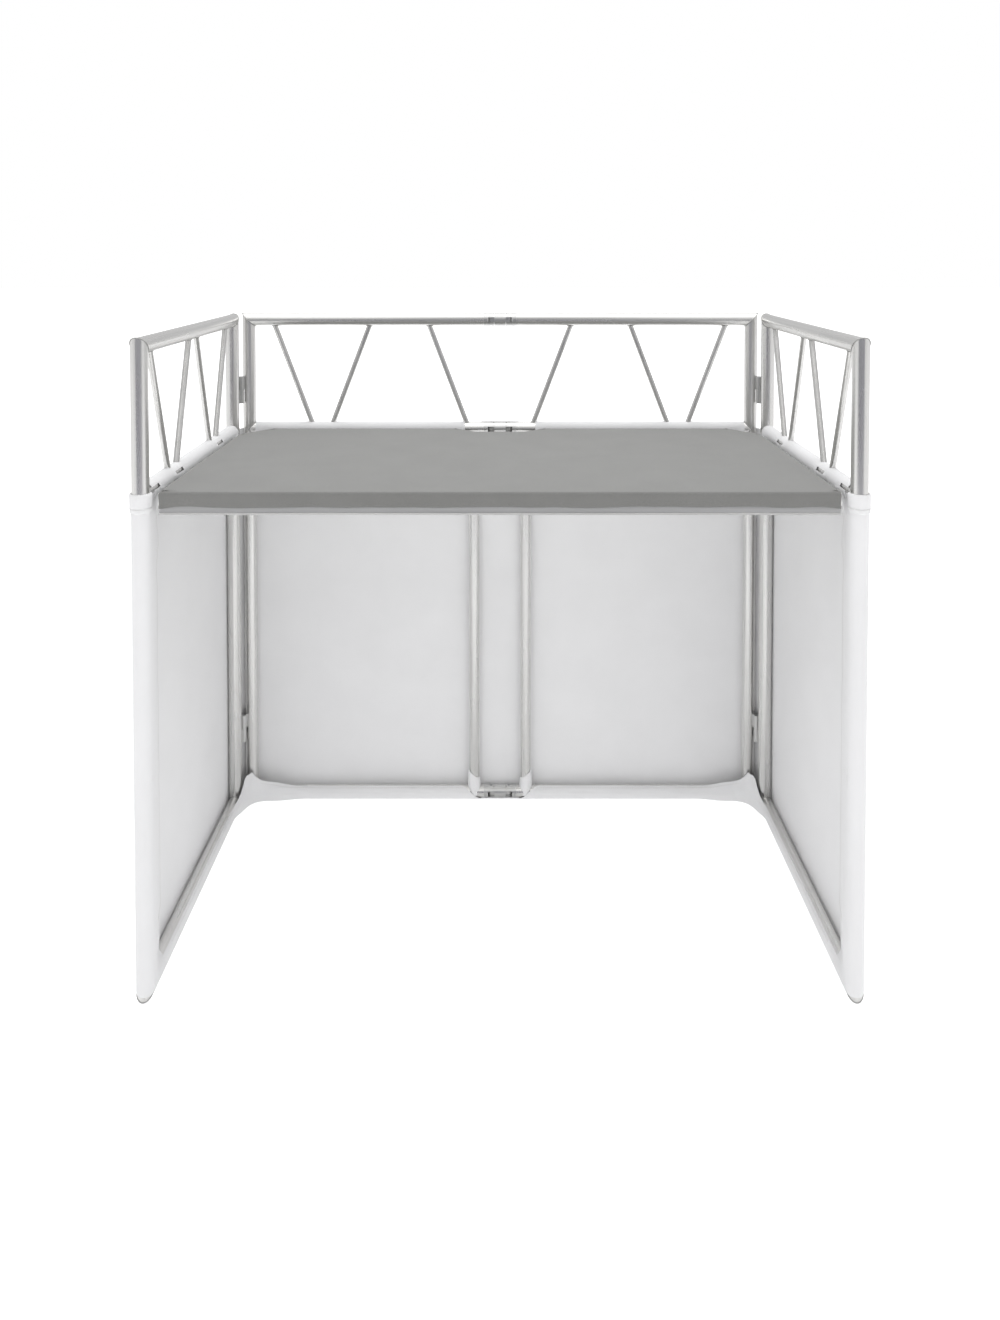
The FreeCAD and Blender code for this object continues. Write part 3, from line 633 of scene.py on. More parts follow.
def low_wrap_place(p, out, t):
    """A place of the cloth round a bottom rail: t runs from the line under the rail to the
    free edge. At the inside corner the cloth cuts across from one rail to the other."""
    settings = bpy.context.scene.booth_scrim
    r = cloth_radius()
    on_front = p.x > CORNER.x
    last = settings.hem_turn
    if on_front:
        last += 0.30 - 0.12 * math.sin((p.x - CORNER.x) / -CORNER.x * math.pi)
        last -= (last - CENTRE_TURN) * ease((p.x + 0.094) / (SCRIM_END + 0.094))
    share = corner_share(p)
    web = ease(share / 0.22) * ease((1 - share) / 0.30) if 0 < share < 1 else 0.0
    below = p - out * r
    angle = math.pi / 2 + (last - math.pi / 2) * t
    radial = Vector((out.x * math.cos(angle), out.y * math.cos(angle), -math.sin(angle)))
    place = below + Vector((0, 0, LOW_Z)) + radial * r
    fold = noise.noise(Vector((p.x * 9 + t * 2.2, p.y * 9, t * 2.5)))
    loose = settings.wrinkle * (2.4 if on_front else 0.8) * max(0.0, t - 0.25)
    place += radial * loose * (0.7 + fold)
    if web > 0:
        floor_point = web_point(share)
        rise = max(0.0, (t - FLOOR_SHARE) / (1 - FLOOR_SHARE))
        flat = below + (floor_point - below) * min(1.0, t / FLOOR_SHARE)
        lean = (below - floor_point) * (0.30 * rise * rise)
        height = LOW_Z - r + (hem_height(share) - LOW_Z + r) * rise
        fold = noise.noise(Vector((share * 5 - rise * 2.2, rise * 2.2, 5.0)))
        across = (floor_point - below).normalized() * (0.0042 * fold * ease(rise * 1.5))
        place = place.lerp(flat + lean + across + Vector((0, 0, height)), web)
        if share < 0.3 or share > 0.55:
            place = off_rail(place, on_front)
    return place


def low_wrap_rows(path):
    """The cloth under and inside the bottom rails, with the web across the inside corner."""
    return [[low_wrap_place(p, out, t) for p, out in path] for t in spread(0.0, 1.0, 20)]


def front_stations():
    """Places along a front half, closer together towards the centre link."""
    return spread(CORNER.x, -0.10, 64) + spread(-0.10, SCRIM_END, 16)[1:]


def post_foot_rows():
    """The small sleeve of cloth that climbs the foot of an inner post."""
    post_r = half_size("left_front_inner_post").x + 0.0011
    rows = []
    for t in spread(0.0, 1.0, 12):
        row = []
        for angle in spread(-math.pi * 1.02, 0.02 * math.pi, 26):
            across = math.cos(angle)
            top = 0.062 - 0.010 * across + 0.007 * noise.noise(Vector((angle * 2.6, 0, 1)))
            z = 0.014 + (top - 0.014) * t
            wide = post_r + 0.0024 * (1 - t) ** 2
            wide += 0.0009 * noise.noise(Vector((angle * 1.5, t * 3, 8)))
            row.append(Vector((INNER.x + wide * across * (1 + 0.10 * (1 - t) ** 3),
                               INNER.y + wide * math.sin(angle), z)))
        rows.append(row)
    return rows


def scrim_mesh(side):
    settings = bpy.context.scene.booth_scrim
    path = plan_path()
    bm = bmesh.new()
    add_grid(bm, outer_rows(path))
    r = cloth_radius()
    low_path = [(p, out) for p, out in path if p.y > NEAR.y - 0.0001 and out.x < 0.001]
    add_grid(bm, low_wrap_rows(low_path))
    add_grid(bm, post_foot_rows())
    top_wing = [(Vector((NEAR.x - r, y, 0)), Vector((-1, 0, 0)))
                for y in spread(NEAR.y + TUBE_R + 0.002, FAR.y - TUBE_R - 0.002, 150)]
    slits = wing_slits()

    def near_slit(y):
        return min(abs(y - place) for place in slits)

    def slit(i, j):
        angle = settings.top_turn * (i + 0.5) / (TOP_ROLL_ROWS - 1)
        return (near_slit(top_wing[j][0].y) < SLIT_HALF
                and SLIT_TURN[0] < angle < SLIT_TURN[1])

    def gape(point, angle):
        along = max(0.0, 1 - (near_slit(point.y) / GAPE_HALF) ** 2)
        return SLIT_GAPE * along * ease((angle - GAPE_TURN) / 0.2)

    add_grid(bm, top_roll_rows(top_wing, gape), skip=slit)
    post_edge = CORNER.x + TUBE_R + 0.002
    top_front = [(Vector((x, CORNER.y + r, 0)), Vector((0, 1, 0)))
                 for x in spread(post_edge, BARE_END, 80)]
    add_grid(bm, top_roll_rows(top_front))
    add_grid(bm, flap_rows())
    bmesh.ops.remove_doubles(bm, verts=bm.verts, dist=0.0003)
    return mirrored(bm, side)


def cloth_piece(name, bm):
    piece = mesh_object(name, bm, "stretch_knit")
    thickened(piece, bpy.context.scene.booth_scrim.cloth_thickness, 0.0)
    return piece


class BOOTH_OT_side_scrims(bpy.types.Operator):
    """Stretches one cloth over each wing and its front half"""
    bl_idname = "booth.side_scrims"
    bl_label = "Side scrims"

    def execute(self, context):
        for name, side in SIDES.items():
            piece = cloth_piece(f"{name}_scrim_cloth", scrim_mesh(side))
            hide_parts(f"{name}_wing_scrim", f"{name}_front_scrim")
            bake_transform(piece)
        return {"FINISHED"}


class BOOTH_OT_centre_scrims(bpy.types.Operator):
    """Stretches the two strips of cloth that cross the centre links"""
    bl_idname = "booth.centre_scrims"
    bl_label = "Centre scrims"

    def execute(self, context):
        out = Vector((0, 1, 0))
        columns = [Vector((x, CORNER.y + cloth_radius(), 0)) for x in spread(SCRIM_END, 0.0, 10)]
        rows = [[rolled(p, out, angle) for p in columns]
                for angle in spread(CENTRE_TURN, 0.0, 12)[:-1]]
        rows += [[p + Vector((0, 0, z)) for p in columns] for z in spread(LOW_Z, MID_Z, 50)]
        rows += [[rolled(p, out, angle, over_mid_rail=True) for p in columns]
                 for angle in spread(0.0, math.radians(75), 8)[1:]]
        for name, side in SIDES.items():
            bm = bmesh.new()
            add_grid(bm, rows)
            piece = cloth_piece(f"{name}_centre_cloth", mirrored(bm, side))
            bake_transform(piece)
        return {"FINISHED"}


class BOOTH_OT_collars(bpy.types.Operator):
    """Makes the folded collar round each near post at the top of the cloth"""
    bl_idname = "booth.collars"
    bl_label = "Collars"

    def execute(self, context):
        r = cloth_radius()
        top, low = MID_Z + 0.003, MID_Z - 0.030
        profile = [(low, 0.0006), (low + 0.0012, 0.0021), (low + 0.007, 0.0024),
                   (low + 0.0085, 0.0012), (low + 0.010, 0.0024), (top - 0.003, 0.0028),
                   (top - 0.0008, 0.0022), (top, 0.0006), (top - 0.002, -0.0004)]
        rows = []
        for z, out in profile:
            row = []
            for angle in spread(0.35, -math.pi - 0.3, 60):
                lean = 0.0012 * noise.noise(Vector((angle * 1.7, z * 30, 1.0)))
                wide = r + out + lean * 0.6
                row.append(Vector((NEAR.x + wide * math.cos(angle),
                                   NEAR.y + wide * math.sin(angle), z + lean)))
            rows.append(row)
        for name, side in SIDES.items():
            bm = bmesh.new()
            add_grid(bm, rows)
            piece = cloth_piece(f"{name}_collar", mirrored(bm, side))
            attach(piece, f"{name}_wing")
        return {"FINISHED"}


# ---------------------------------------------------------------- felt

def table_corners():
    """The table's outline, clockwise from the near left corner, read from the felt and from
    the strips beside its cut corners and its notch."""
    low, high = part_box("table_felt")
    half, near, back = high[0], low[1], high[1]
    strip_low, strip_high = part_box("table_back_left_strip")
    cut_x = -strip_low[0] + STRIP_INSET
    notch_x = -strip_high[0] - STRIP_INSET
    side_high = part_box("table_left_strip")[1]
    cut_y = side_high[1] + STRIP_END_GAP
    floor_x, floor_y = notch_x - NOTCH_RUN, back - NOTCH_DEPTH
    return [(-half, near), (-half, cut_y), (-cut_x, back), (-notch_x, back),
            (-floor_x, floor_y), (floor_x, floor_y), (notch_x, back), (cut_x, back),
            (half, cut_y), (half, near)]


def rounded_outline(corners, radius, pitch):
    """The outline with round corners and evenly spaced points: points and outward normals."""
    path = []
    count = len(corners)
    for i in range(count):
        before = Vector(corners[i - 1]).to_3d()
        here = Vector(corners[i]).to_3d()
        after = Vector(corners[(i + 1) % count]).to_3d()
        come, go = (here - before).normalized(), (after - here).normalized()
        turn = come.angle(go)
        back = min(radius * math.tan(turn / 2), 0.02)
        start, end = here - come * back, here + go * back
        for share in spread(0.0, 1.0, 7):
            a = start + (here - start) * share
            b = here + (end - here) * share
            path.append(a + (b - a) * share)
        steps = max(2, int((after - end).length / pitch))
        stop = after - go * 0.02
        path += [end + (stop - end) * k / steps for k in range(1, steps)]
    points = []
    for i, p in enumerate(path):
        tangent = (path[(i + 1) % len(path)] - path[i - 1]).normalized()
        points.append((p, Vector((-tangent.y, tangent.x, 0))))
    return points


def ends_off(point):
    """Distance of a place on the table's outline from the closer near corner."""
    low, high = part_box("table_felt")
    return math.hypot(abs(point.x) - high[0], point.y - low[1])


class BOOTH_OT_felt(bpy.types.Operator):
    """Lays the felt over the table board, with its edges turned down"""
    bl_idname = "booth.felt"
    bl_label = "Table felt"

    def execute(self, context):
        settings = context.scene.booth_table
        outline = rounded_outline(table_corners(), settings.corner_round, 0.012)
        radius = settings.edge_round
        profile = [(0.012, 0.0), (radius + 0.001, 0.0), (radius, 0.0)]
        for angle in spread(0.0, math.pi / 2, 7)[1:]:
            profile.append((radius * (1 - math.sin(angle)), -radius * (1 - math.cos(angle))))
        depth = TABLE_TOP - TABLE_LOW
        profile += [(0.0, -depth * 0.4), (0.0002, -depth * 0.7), (0.0, -depth)]
        bm = bmesh.new()
        rings = []
        for inset, drop in profile:
            ring = []
            for i, (p, out) in enumerate(outline):
                wave = noise.noise(Vector((p.x * 14, p.y * 14, 2.0)))
                share = ease(-drop / depth)
                sag = max(0.0, 1 - ends_off(p) / CORNER_SAG_REACH)
                z = TABLE_TOP + drop + share * share * (settings.hem_wave * (wave - 0.8)
                                                        - CORNER_SAG * sag)
                ring.append(p - out * (inset + 0.0006 * share * (1 + wave)) + Vector((0, 0, z)))
            ring.append(ring[0].copy())
            rings.append(ring)
        add_grid(bm, rings)
        bmesh.ops.remove_doubles(bm, verts=bm.verts, dist=0.00001)
        bm.verts.ensure_lookup_table()
        edge = [e for e in bm.edges if e.is_boundary
                and min(v.co.z for v in e.verts) > TABLE_TOP - 0.0005]
        bmesh.ops.triangle_fill(bm, use_beauty=True, edges=edge)
        bmesh.ops.recalc_face_normals(bm, faces=bm.faces)
        piece = mesh_object("table_felt_cover", bm, "wool_felt")
        thickened(piece, FELT_THICKNESS, -1.0)
        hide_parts("table_felt")
        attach(piece, "table")
        return {"FINISHED"}


# ---------------------------------------------------------------- frame

NODE_FINISH = (
    ("_post", "extruded_aluminium_z"), ("front_top_rail", "extruded_aluminium_x"),
    ("front_mid_rail", "extruded_aluminium_x"), ("front_bottom_rail", "extruded_aluminium_x"),
    ("wing_top_rail", "extruded_aluminium_y"), ("wing_mid_rail", "extruded_aluminium_y"),
    ("wing_bottom_rail", "extruded_aluminium_y"), ("braces", "extruded_aluminium_z"),
    ("barrels", "milled_aluminium"), ("pins", "zinc_steel"), ("ledge", "milled_aluminium"),
    ("forks", "milled_aluminium"), ("centre_link", "milled_aluminium"),
    ("strip", "strip_aluminium"), ("screws", "zinc_steel"), ("board", "laminate_board"),
    ("scrim", "stretch_knit"), ("felt", "wool_felt"),
)


class BOOTH_OT_frame_finish(bpy.types.Operator):
    """Gives every tube, barrel, pin and strip of the frame its finish"""
    bl_idname = "booth.frame_finish"
    bl_label = "Frame finish"

    def execute(self, context):
        for name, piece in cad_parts.items():
            finish = next(f for part, f in NODE_FINISH if part in name)
            piece.data.materials.clear()
            piece.data.materials.append(MATERIALS[finish])
        return {"FINISHED"}


def bead_tree(name, material, subdivisions):
    """A node tree that sets small rounded beads along a curve, one at each step, and the
    identifiers of its inputs: pitch, width and length."""
    tree = bpy.data.node_groups.new(name, "GeometryNodeTree")
    tree.interface.new_socket("Geometry", in_out="INPUT", socket_type="NodeSocketGeometry")
    sizes = [tree.interface.new_socket(size, in_out="INPUT", socket_type="NodeSocketFloat")
             for size in ("Pitch", "Width", "Length")]
    tree.interface.new_socket("Geometry", in_out="OUTPUT", socket_type="NodeSocketGeometry")
    start = add_node(tree, "NodeGroupInput").outputs
    points = add_node(tree, "GeometryNodeCurveToPoints",
                      [("Curve", start["Geometry"]), ("Length", start["Pitch"])], mode="LENGTH")
    bead = add_node(tree, "GeometryNodeMeshIcoSphere", Radius=0.5, Subdivisions=subdivisions)
    size = add_node(tree, "ShaderNodeCombineXYZ", [
        ("X", start["Width"]), ("Y", start["Width"]), ("Z", start["Length"])])
    beads = add_node(tree, "GeometryNodeInstanceOnPoints", [
        ("Points", points.outputs["Points"]), ("Instance", bead.outputs["Mesh"]),
        ("Rotation", points.outputs["Rotation"]), ("Scale", size.outputs[0])])
    real = add_node(tree, "GeometryNodeRealizeInstances", [("Geometry", beads.outputs[0])])
    painted = add_node(tree, "GeometryNodeSetMaterial", [("Geometry", real.outputs[0])],
                       Material=MATERIALS[material])
    add_node(tree, "NodeGroupOutput", [("Geometry", painted.outputs[0])])
    return tree, [size.identifier for size in sizes]


def beads_along(name, lines, beads, sizes):
    """One piece with the tree's beads along every line. beads is what bead_tree gives, sizes
    are a bead's pitch, width and length, and a line is (points, closed)."""
    tree, identifiers = beads
    curve = bpy.data.curves.new(name, "CURVE")
    curve.dimensions = "3D"
    for points, closed in lines:
        spline = curve.splines.new("POLY")
        spline.points.add(len(points) - 1)
        for slot, point in zip(spline.points, points):
            slot.co = (*point, 1)
        spline.use_cyclic_u = closed
    carrier = bpy.data.objects.new(f"{name}_line", curve)
    bpy.context.scene.collection.objects.link(carrier)
    modifier = carrier.modifiers.new("beads", "NODES")
    modifier.node_group = tree
    for identifier, value in zip(identifiers, sizes):
        modifier[identifier] = value
    mesh = evaluated_mesh(carrier)
    bpy.data.objects.remove(carrier)
    return smooth_object(name, mesh)


def circle(steps):
    return spread(0.0, 2 * math.pi, steps + 1)[:-1]


def mitre_line(corner, flat, along):
    """The seam of two mitred tubes: an ellipse round the corner. flat is the normal of the
    frame, and along is the mitre's direction in it."""
    r = TUBE_R + SEAM_PROUD
    return [corner + flat * (r * math.cos(a)) + along * (r * math.sin(a))
            for a in circle(40)], True


def saddle_line(centre, rail, across, rail_r=TUBE_R):
    """The seam of a tube that ends on another one. rail points away from the post."""
    points = []
    for a in circle(40):
        side = across * (rail_r * math.cos(a))
        up = rail.cross(across) * (rail_r * math.sin(a))
        reach = math.sqrt(max(0.0, TUBE_R ** 2 - (rail_r * math.cos(a)) ** 2))
        points.append(centre + side + up + rail * (reach + 2 * SEAM_PROUD))
    return points, True


def wing_seams():
    seams = []
    for post, inward in ((NEAR, 1), (FAR, -1)):
        for z, upward in ((LOW_Z, 1), (TOP_Z, -1)):
            corner = Vector((NEAR.x, post.y, z))
            seams.append(mitre_line(corner, Vector((1, 0, 0)), Vector((0, inward, upward))))
        seams.append(saddle_line(Vector((NEAR.x, post.y, MID_Z)), Vector((0, inward, 0)),
                                 Vector((1, 0, 0))))
    return seams


def front_seams():
    flat = Vector((0, 1, 0))
    seams = [mitre_line(Vector((CORNER.x, CORNER.y, z)), flat, Vector((1, 0, upward)))
             for z, upward in ((LOW_Z, 1), (TOP_Z, -1))]
    seams.append(saddle_line(Vector((CORNER.x, CORNER.y, MID_Z)), Vector((1, 0, 0)), flat))
    inner_r = half_size("left_front_inner_post").x
    seams += [saddle_line(Vector((INNER.x, INNER.y, z)), Vector((0, 0, upward)), flat, inner_r)
              for z, upward in ((MID_Z, -1), (LOW_Z, 1))]
    return seams


def middle_of_end(island, at_top):
    """The middle of a rod's vertices near its top or its bottom end."""
    end = (max if at_top else min)(v.co.z for v in island)
    band = [v.co for v in island if abs(v.co.z - end) < BRACE_END_BAND]
    return sum(band, Vector()) / len(band)


def brace_seams(node, across):
    """Rings where the braces of a node meet the rails, found from the node's own rods."""
    seams = []
    bm = bmesh.new()
    bm.from_mesh(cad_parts[node].data)
    bmesh.ops.remove_doubles(bm, verts=bm.verts, dist=0.0002)
    seen = set()
    for first in bm.verts:
        if first in seen:
            continue
        seen.add(first)
        island, stack = [], [first]
        while stack:
            vert = stack.pop()
            island.append(vert)
            for edge in vert.link_edges:
                other = edge.other_vert(vert)
                if other not in seen:
                    seen.add(other)
                    stack.append(other)
        for at_top, rail_z, inner in ((True, TOP_Z, -1), (False, MID_Z, 1)):
            centre = middle_of_end(island, at_top)
            away = (middle_of_end(island, not at_top) - centre).normalized()
            up = away.cross(across)
            start = centre + away * ((rail_z - centre.z) / away.z)
            ring = []
            for a in circle(24):
                side = BRACE_R * math.cos(a)
                base = start + across * side + up * (BRACE_R * math.sin(a))
                lift = math.sqrt(TUBE_R ** 2 - side ** 2) * inner
                ring.append(base + away * ((rail_z + lift - base.z) / away.z + SEAM_PROUD))
            seams.append((ring, True))
    bm.free()
    return seams


def flipped(lines, side):
    return [([Vector((p.x * side, p.y, p.z)) for p in points], closed)
            for points, closed in lines]


class BOOTH_OT_welds(bpy.types.Operator):
    """Lays the weld beads at the mitres, the rail ends and the brace ends"""
    bl_idname = "booth.welds"
    bl_label = "Welds"

    def execute(self, context):
        pitch = context.scene.booth_frame.bead_pitch
        width = context.scene.booth_frame.bead_width
        beads = bead_tree("weld_ripples", "weld_aluminium", 2)
        coarse = (pitch, width * 0.6, pitch * 1.7)
        fine = (pitch * 0.8, width * 0.5, pitch * 1.4)
        wing = wing_seams()
        front = front_seams()
        wing_braces = brace_seams("left_wing_braces", Vector((1, 0, 0)))
        front_braces = brace_seams("left_front_braces", Vector((0, 1, 0)))
        for name, side in SIDES.items():
            for part, lines, sizes, body in (
                    ("wing_welds", wing, coarse, f"{name}_wing"),
                    ("front_welds", front, coarse, f"front_{name}"),
                    ("wing_brace_welds", wing_braces, fine, f"{name}_wing"),
                    ("front_brace_welds", front_braces, fine, f"front_{name}")):
                piece = beads_along(f"{name}_{part}", flipped(lines, side), beads, sizes)
                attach(piece, body)
        return {"FINISHED"}


def wing_stitch_lines():
    """Lines of stitches on a wing: the collar, the flap's edge and the two rail hems."""
    settings = bpy.context.scene.booth_scrim
    r = cloth_radius()
    proud = Vector((0.0007, 0, 0))
    collar = [Vector((NEAR.x + (r + 0.0032) * math.cos(a), NEAR.y + (r + 0.0032) * math.sin(a),
                      MID_Z - 0.0225)) for a in spread(0.3, -math.pi - 0.25, 50)]
    flap = [flap_place(z, 0.93) + proud for z in spread(0.07, 0.85, 120)]
    low = [low_wrap_place(Vector((NEAR.x - r, y, 0)), Vector((-1, 0, 0)), HEM_STITCH_LINE)
           + Vector((0.0005, 0, 0.0005)) for y in spread(-0.215, FAR.y - WEB_REACH, 60)]
    turn = settings.top_turn - HEM_STITCH_BACK
    top = [Vector((NEAR.x - (r + 0.0012) * math.cos(turn), y,
                   MID_Z + (r + 0.0012) * math.sin(turn))) for y in spread(-0.25, 0.24, 60)]
    return [(line, False) for line in (collar, flap, low, top)]


def front_stitch_lines():
    """Lines of stitches on a front half: the hems of the bottom rail and of the mid rail."""
    settings = bpy.context.scene.booth_scrim
    r = cloth_radius()
    low = [low_wrap_place(Vector((x, CORNER.y + r, 0)), Vector((0, 1, 0)), HEM_STITCH_LINE)
           + Vector((0, -0.0006, 0.0004)) for x in spread(CORNER.x + 0.03, -0.09, 90)]
    turn = settings.top_turn - HEM_STITCH_BACK
    top = [Vector((x, CORNER.y + (r + 0.0012) * math.cos(turn),
                   MID_Z + (r + 0.0012) * math.sin(turn)))
           for x in spread(CORNER.x + 0.03, BARE_END - 0.004, 60)]
    return [(line, False) for line in (low, top)]


class BOOTH_OT_stitches(bpy.types.Operator):
    """Sews the hems of the scrims"""
    bl_idname = "booth.stitches"
    bl_label = "Stitches"

    def execute(self, context):
        step = context.scene.booth_scrim.stitch_pitch
        beads = bead_tree("hem_stitches", "sewing_thread", 1)
        sizes = (step, THREAD_WIDTH, step * 0.62)
        wing, front = wing_stitch_lines(), front_stitch_lines()
        for name, side in SIDES.items():
            for part, lines, body in (("wing_stitches", wing, f"{name}_wing"),
                                      ("front_stitches", front, f"front_{name}")):
                piece = beads_along(f"{name}_{part}", flipped(lines, side), beads, sizes)
                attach(piece, body)
        return {"FINISHED"}


# ---------------------------------------------------------------- table strips

def strip_profile(depth, height):
    """Section of an edge strip: (distance in from the lip's tip, height). A flange under the
    board, a wall, and a rolled lip that catches the light."""
    thick, lip, bead = 0.002, 0.003, 0.0017
    points = [(depth, height), (depth, height - thick), (lip + thick + 0.002, height - thick)]
    for a in spread(0.0, math.pi / 2, 5)[1:]:
        points.append((lip + thick + 0.002 * (1 - math.sin(a)),
                       height - thick - 0.002 * (1 - math.cos(a))))
    points.append((lip + thick, 0.0006))
    points.append((lip + thick - 0.0006, 0.0))
    for a in spread(-math.pi / 2, -math.pi * 1.45, 12):
        points.append((bead + bead * math.cos(a), bead + bead * math.sin(a)))
    points.append((lip, bead * 2 + 0.0004))
    for a in spread(0.0, math.pi / 2, 4):
        points.append((lip + 0.001 * (1 - math.cos(a)), height - 0.001 + 0.001 * math.sin(a)))
    return points


class BOOTH_OT_strips(bpy.types.Operator):
    """Rolls the aluminium strips under the table's edges"""
    bl_idname = "booth.strips"
    bl_label = "Table strips"

    def execute(self, context):
        for part, run, across, sign in (("front", 0, 1, 1), ("left", 1, 0, 1),
                                        ("right", 1, 0, -1), ("back_left", 0, 1, -1),
                                        ("back_right", 0, 1, -1)):
            node = f"table_{part}_strip"
            low, high = (Vector(c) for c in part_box(node))
            section = strip_profile(high[across] - low[across], high.z - low.z)
            tip = low[across] if sign > 0 else high[across]
            bm = bmesh.new()
            rings = []
            for place in spread(low[run], high[run], 24):
                ring = []
                for inward, up in section:
                    point = Vector((0, 0, low.z + up))
                    point[run] = place
                    point[across] = tip + sign * inward
                    ring.append(bm.verts.new(point))
                rings.append(ring)
            for a, b in zip(rings, rings[1:]):
                for i in range(len(section)):
                    j = (i + 1) % len(section)
                    bm.faces.new((a[i], a[j], b[j], b[i]))
            bm.faces.new(rings[0])
            bm.faces.new(rings[-1])
            bmesh.ops.recalc_face_normals(bm, faces=bm.faces)
            piece = mesh_object(f"{node}_rolled", bm, "strip_aluminium")
            piece.data.set_sharp_from_angle(angle=STRIP_CREASE)
            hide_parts(node)
            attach(piece, "table")
        return {"FINISHED"}


# ---------------------------------------------------------------- stage

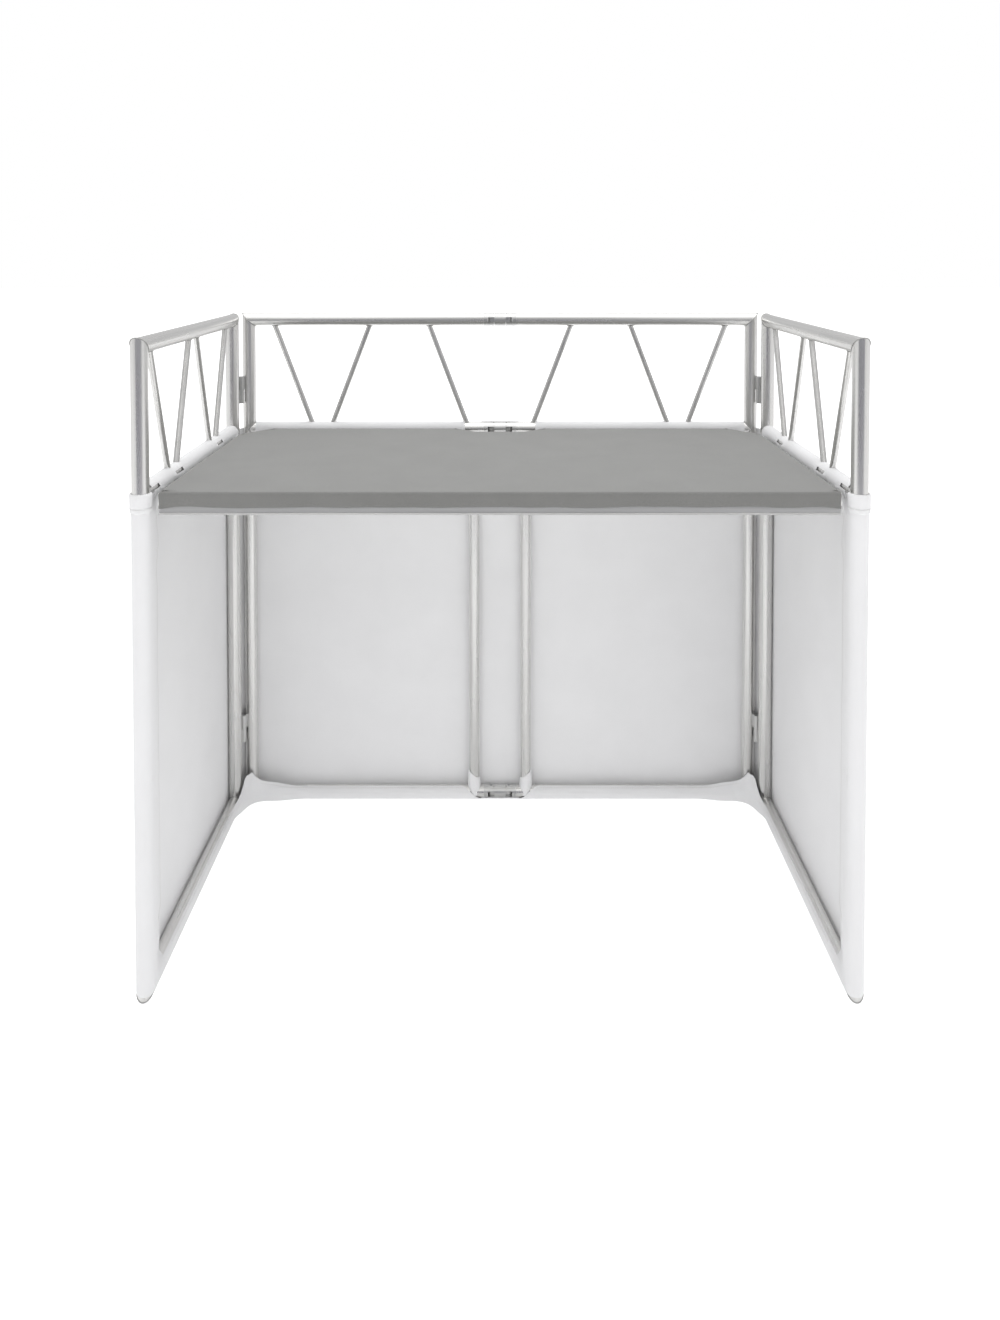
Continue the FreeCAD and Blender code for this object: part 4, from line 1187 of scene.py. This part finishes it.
class BOOTH_OT_stage(bpy.types.Operator):
    """Sets the floor, the soft light and the camera"""
    bl_idname = "booth.stage"
    bl_label = "Stage"

    def execute(self, context):
        settings = context.scene.booth_stage
        self.floor(settings)
        self.sky(context.scene)
        self.lamps(context.scene)
        self.camera(context.scene, settings)
        context.scene.view_settings.view_transform = "Standard"
        context.scene.view_settings.look = "None"
        return {"FINISHED"}

    def floor(self, settings):
        bm = bmesh.new()
        bmesh.ops.create_grid(bm, x_segments=8, y_segments=8, size=settings.floor_size / 2)
        piece = mesh_object("studio_floor", bm, "painted_floor")
        card = bmesh.new()
        corners = [(-CARD_HALF, 0.001), (CARD_HALF, 0.001), (CARD_HALF, CARD_TOP),
                   (-CARD_HALF, CARD_TOP)]
        card.faces.new([card.verts.new((x, CARD_Y, z)) for x, z in corners])
        flag = mesh_object("grey_flag", card, "grey_card")
        for ray in ("camera", "diffuse", "shadow", "transmission"):
            setattr(flag, f"visible_{ray}", False)

    def sky(self, scene):
        """A white studio: bright overhead and in parts of the walls, with greyer stretches
        between that the tubes pick up as streaks. It is plain white to the camera."""
        world = bpy.data.worlds.new("studio")
        world.use_nodes = True
        scene.world = world
        tree = world.node_tree
        tree.nodes.clear()
        place = add_node(tree, "ShaderNodeTexCoord")
        parts = add_node(tree, "ShaderNodeSeparateXYZ", [("Vector", place.outputs["Generated"])])
        angle = maths(tree, "ARCTAN2", parts.outputs["Y"], parts.outputs["X"])
        band = remap(tree, angle, From_Min=-math.pi, From_Max=math.pi)
        walls = add_node(tree, "ShaderNodeValToRGB", [("Fac", band)])
        ramp = walls.color_ramp
        while len(ramp.elements) < len(WALLS):
            ramp.elements.new(0.5)
        for element, (position, value) in zip(ramp.elements, WALLS):
            element.position = position
            element.color = (value, value, value * 1.01, 1)
        height = remap(tree, parts.outputs["Z"], From_Min=0.35, From_Max=0.8,
                       interpolation_type="SMOOTHSTEP")
        colour_a, colour_b = 6, 7
        top = add_node(tree, "ShaderNodeMix", [(0, height), (colour_a, walls.outputs["Color"])],
                       data_type="RGBA")
        top.inputs[colour_b].default_value = (ZENITH, ZENITH, ZENITH, 1)
        studio = add_node(tree, "ShaderNodeBackground", [("Color", top.outputs[2])],
                          Strength=STUDIO_STRENGTH)
        clear = add_node(tree, "ShaderNodeBackground", Color=(1, 1, 1, 1), Strength=1.0)
        path = add_node(tree, "ShaderNodeLightPath")
        mixed = add_node(tree, "ShaderNodeMixShader",
                         [(0, path.outputs["Is Camera Ray"]), (1, studio.outputs[0]),
                          (2, clear.outputs[0])])
        add_node(tree, "ShaderNodeOutputWorld", [("Surface", mixed.outputs[0])])

    def lamps(self, scene):
        for name, place, aim, size, power in LAMPS:
            lamp = bpy.data.lights.new(name, "AREA")
            lamp.shape = "SQUARE"
            lamp.size = size
            lamp.energy = power
            light = bpy.data.objects.new(name, lamp)
            light.location = place
            light.visible_camera = False
            light.visible_glossy = name != "low_softbox"
            back = Vector(place) - Vector(aim)
            light.rotation_euler = back.to_track_quat("Z", "Y").to_euler()
            scene.collection.objects.link(light)

    def camera(self, scene, settings):
        data = bpy.data.cameras.new("camera")
        data.lens = settings.lens
        data.sensor_width = 36
        data.shift_y = settings.shift
        camera = bpy.data.objects.new("camera", data)
        camera.location = (0, -settings.eye_distance, settings.eye_height)
        camera.rotation_euler = (math.pi / 2 - settings.tilt, 0, 0)
        scene.collection.objects.link(camera)
        scene.camera = camera


class BOOTH_PT_panel(bpy.types.Panel):
    """Lists the booth's sizes and steps"""
    bl_label = "Folding booth"
    bl_space_type = "VIEW_3D"
    bl_region_type = "UI"
    bl_category = "Booth"

    def draw(self, context):
        for group in ("booth_frame", "booth_scrim", "booth_table", "booth_stage"):
            settings = getattr(context.scene, group)
            box = self.layout.box()
            for name in settings.__annotations__:
                box.prop(settings, name)
        for operator in OPERATORS:
            self.layout.operator(operator.bl_idname)


GROUPS = {
    "booth_frame": BoothFrameSettings,
    "booth_scrim": BoothScrimSettings,
    "booth_table": BoothTableSettings,
    "booth_stage": BoothStageSettings,
}
OPERATORS = (
    BOOTH_OT_stage, BOOTH_OT_frame_finish, BOOTH_OT_welds, BOOTH_OT_side_scrims,
    BOOTH_OT_centre_scrims, BOOTH_OT_collars, BOOTH_OT_stitches, BOOTH_OT_strips,
    BOOTH_OT_felt,
)


def register():
    for group in GROUPS.values():
        bpy.utils.register_class(group)
    for name, group in GROUPS.items():
        setattr(bpy.types.Scene, name, PointerProperty(type=group))
    for operator in OPERATORS:
        bpy.utils.register_class(operator)
    bpy.utils.register_class(BOOTH_PT_panel)


def unregister():
    bpy.utils.unregister_class(BOOTH_PT_panel)
    for operator in reversed(OPERATORS):
        bpy.utils.unregister_class(operator)
    for name, group in GROUPS.items():
        delattr(bpy.types.Scene, name)
        bpy.utils.unregister_class(group)


def main():
    register()
    make_materials()
    bpy.ops.booth.stage()
    bpy.ops.booth.frame_finish()
    bpy.ops.booth.welds()
    bpy.ops.booth.side_scrims()
    bpy.ops.booth.centre_scrims()
    bpy.ops.booth.collars()
    bpy.ops.booth.stitches()
    bpy.ops.booth.strips()
    bpy.ops.booth.felt()


if __name__ == "__main__":
    main()
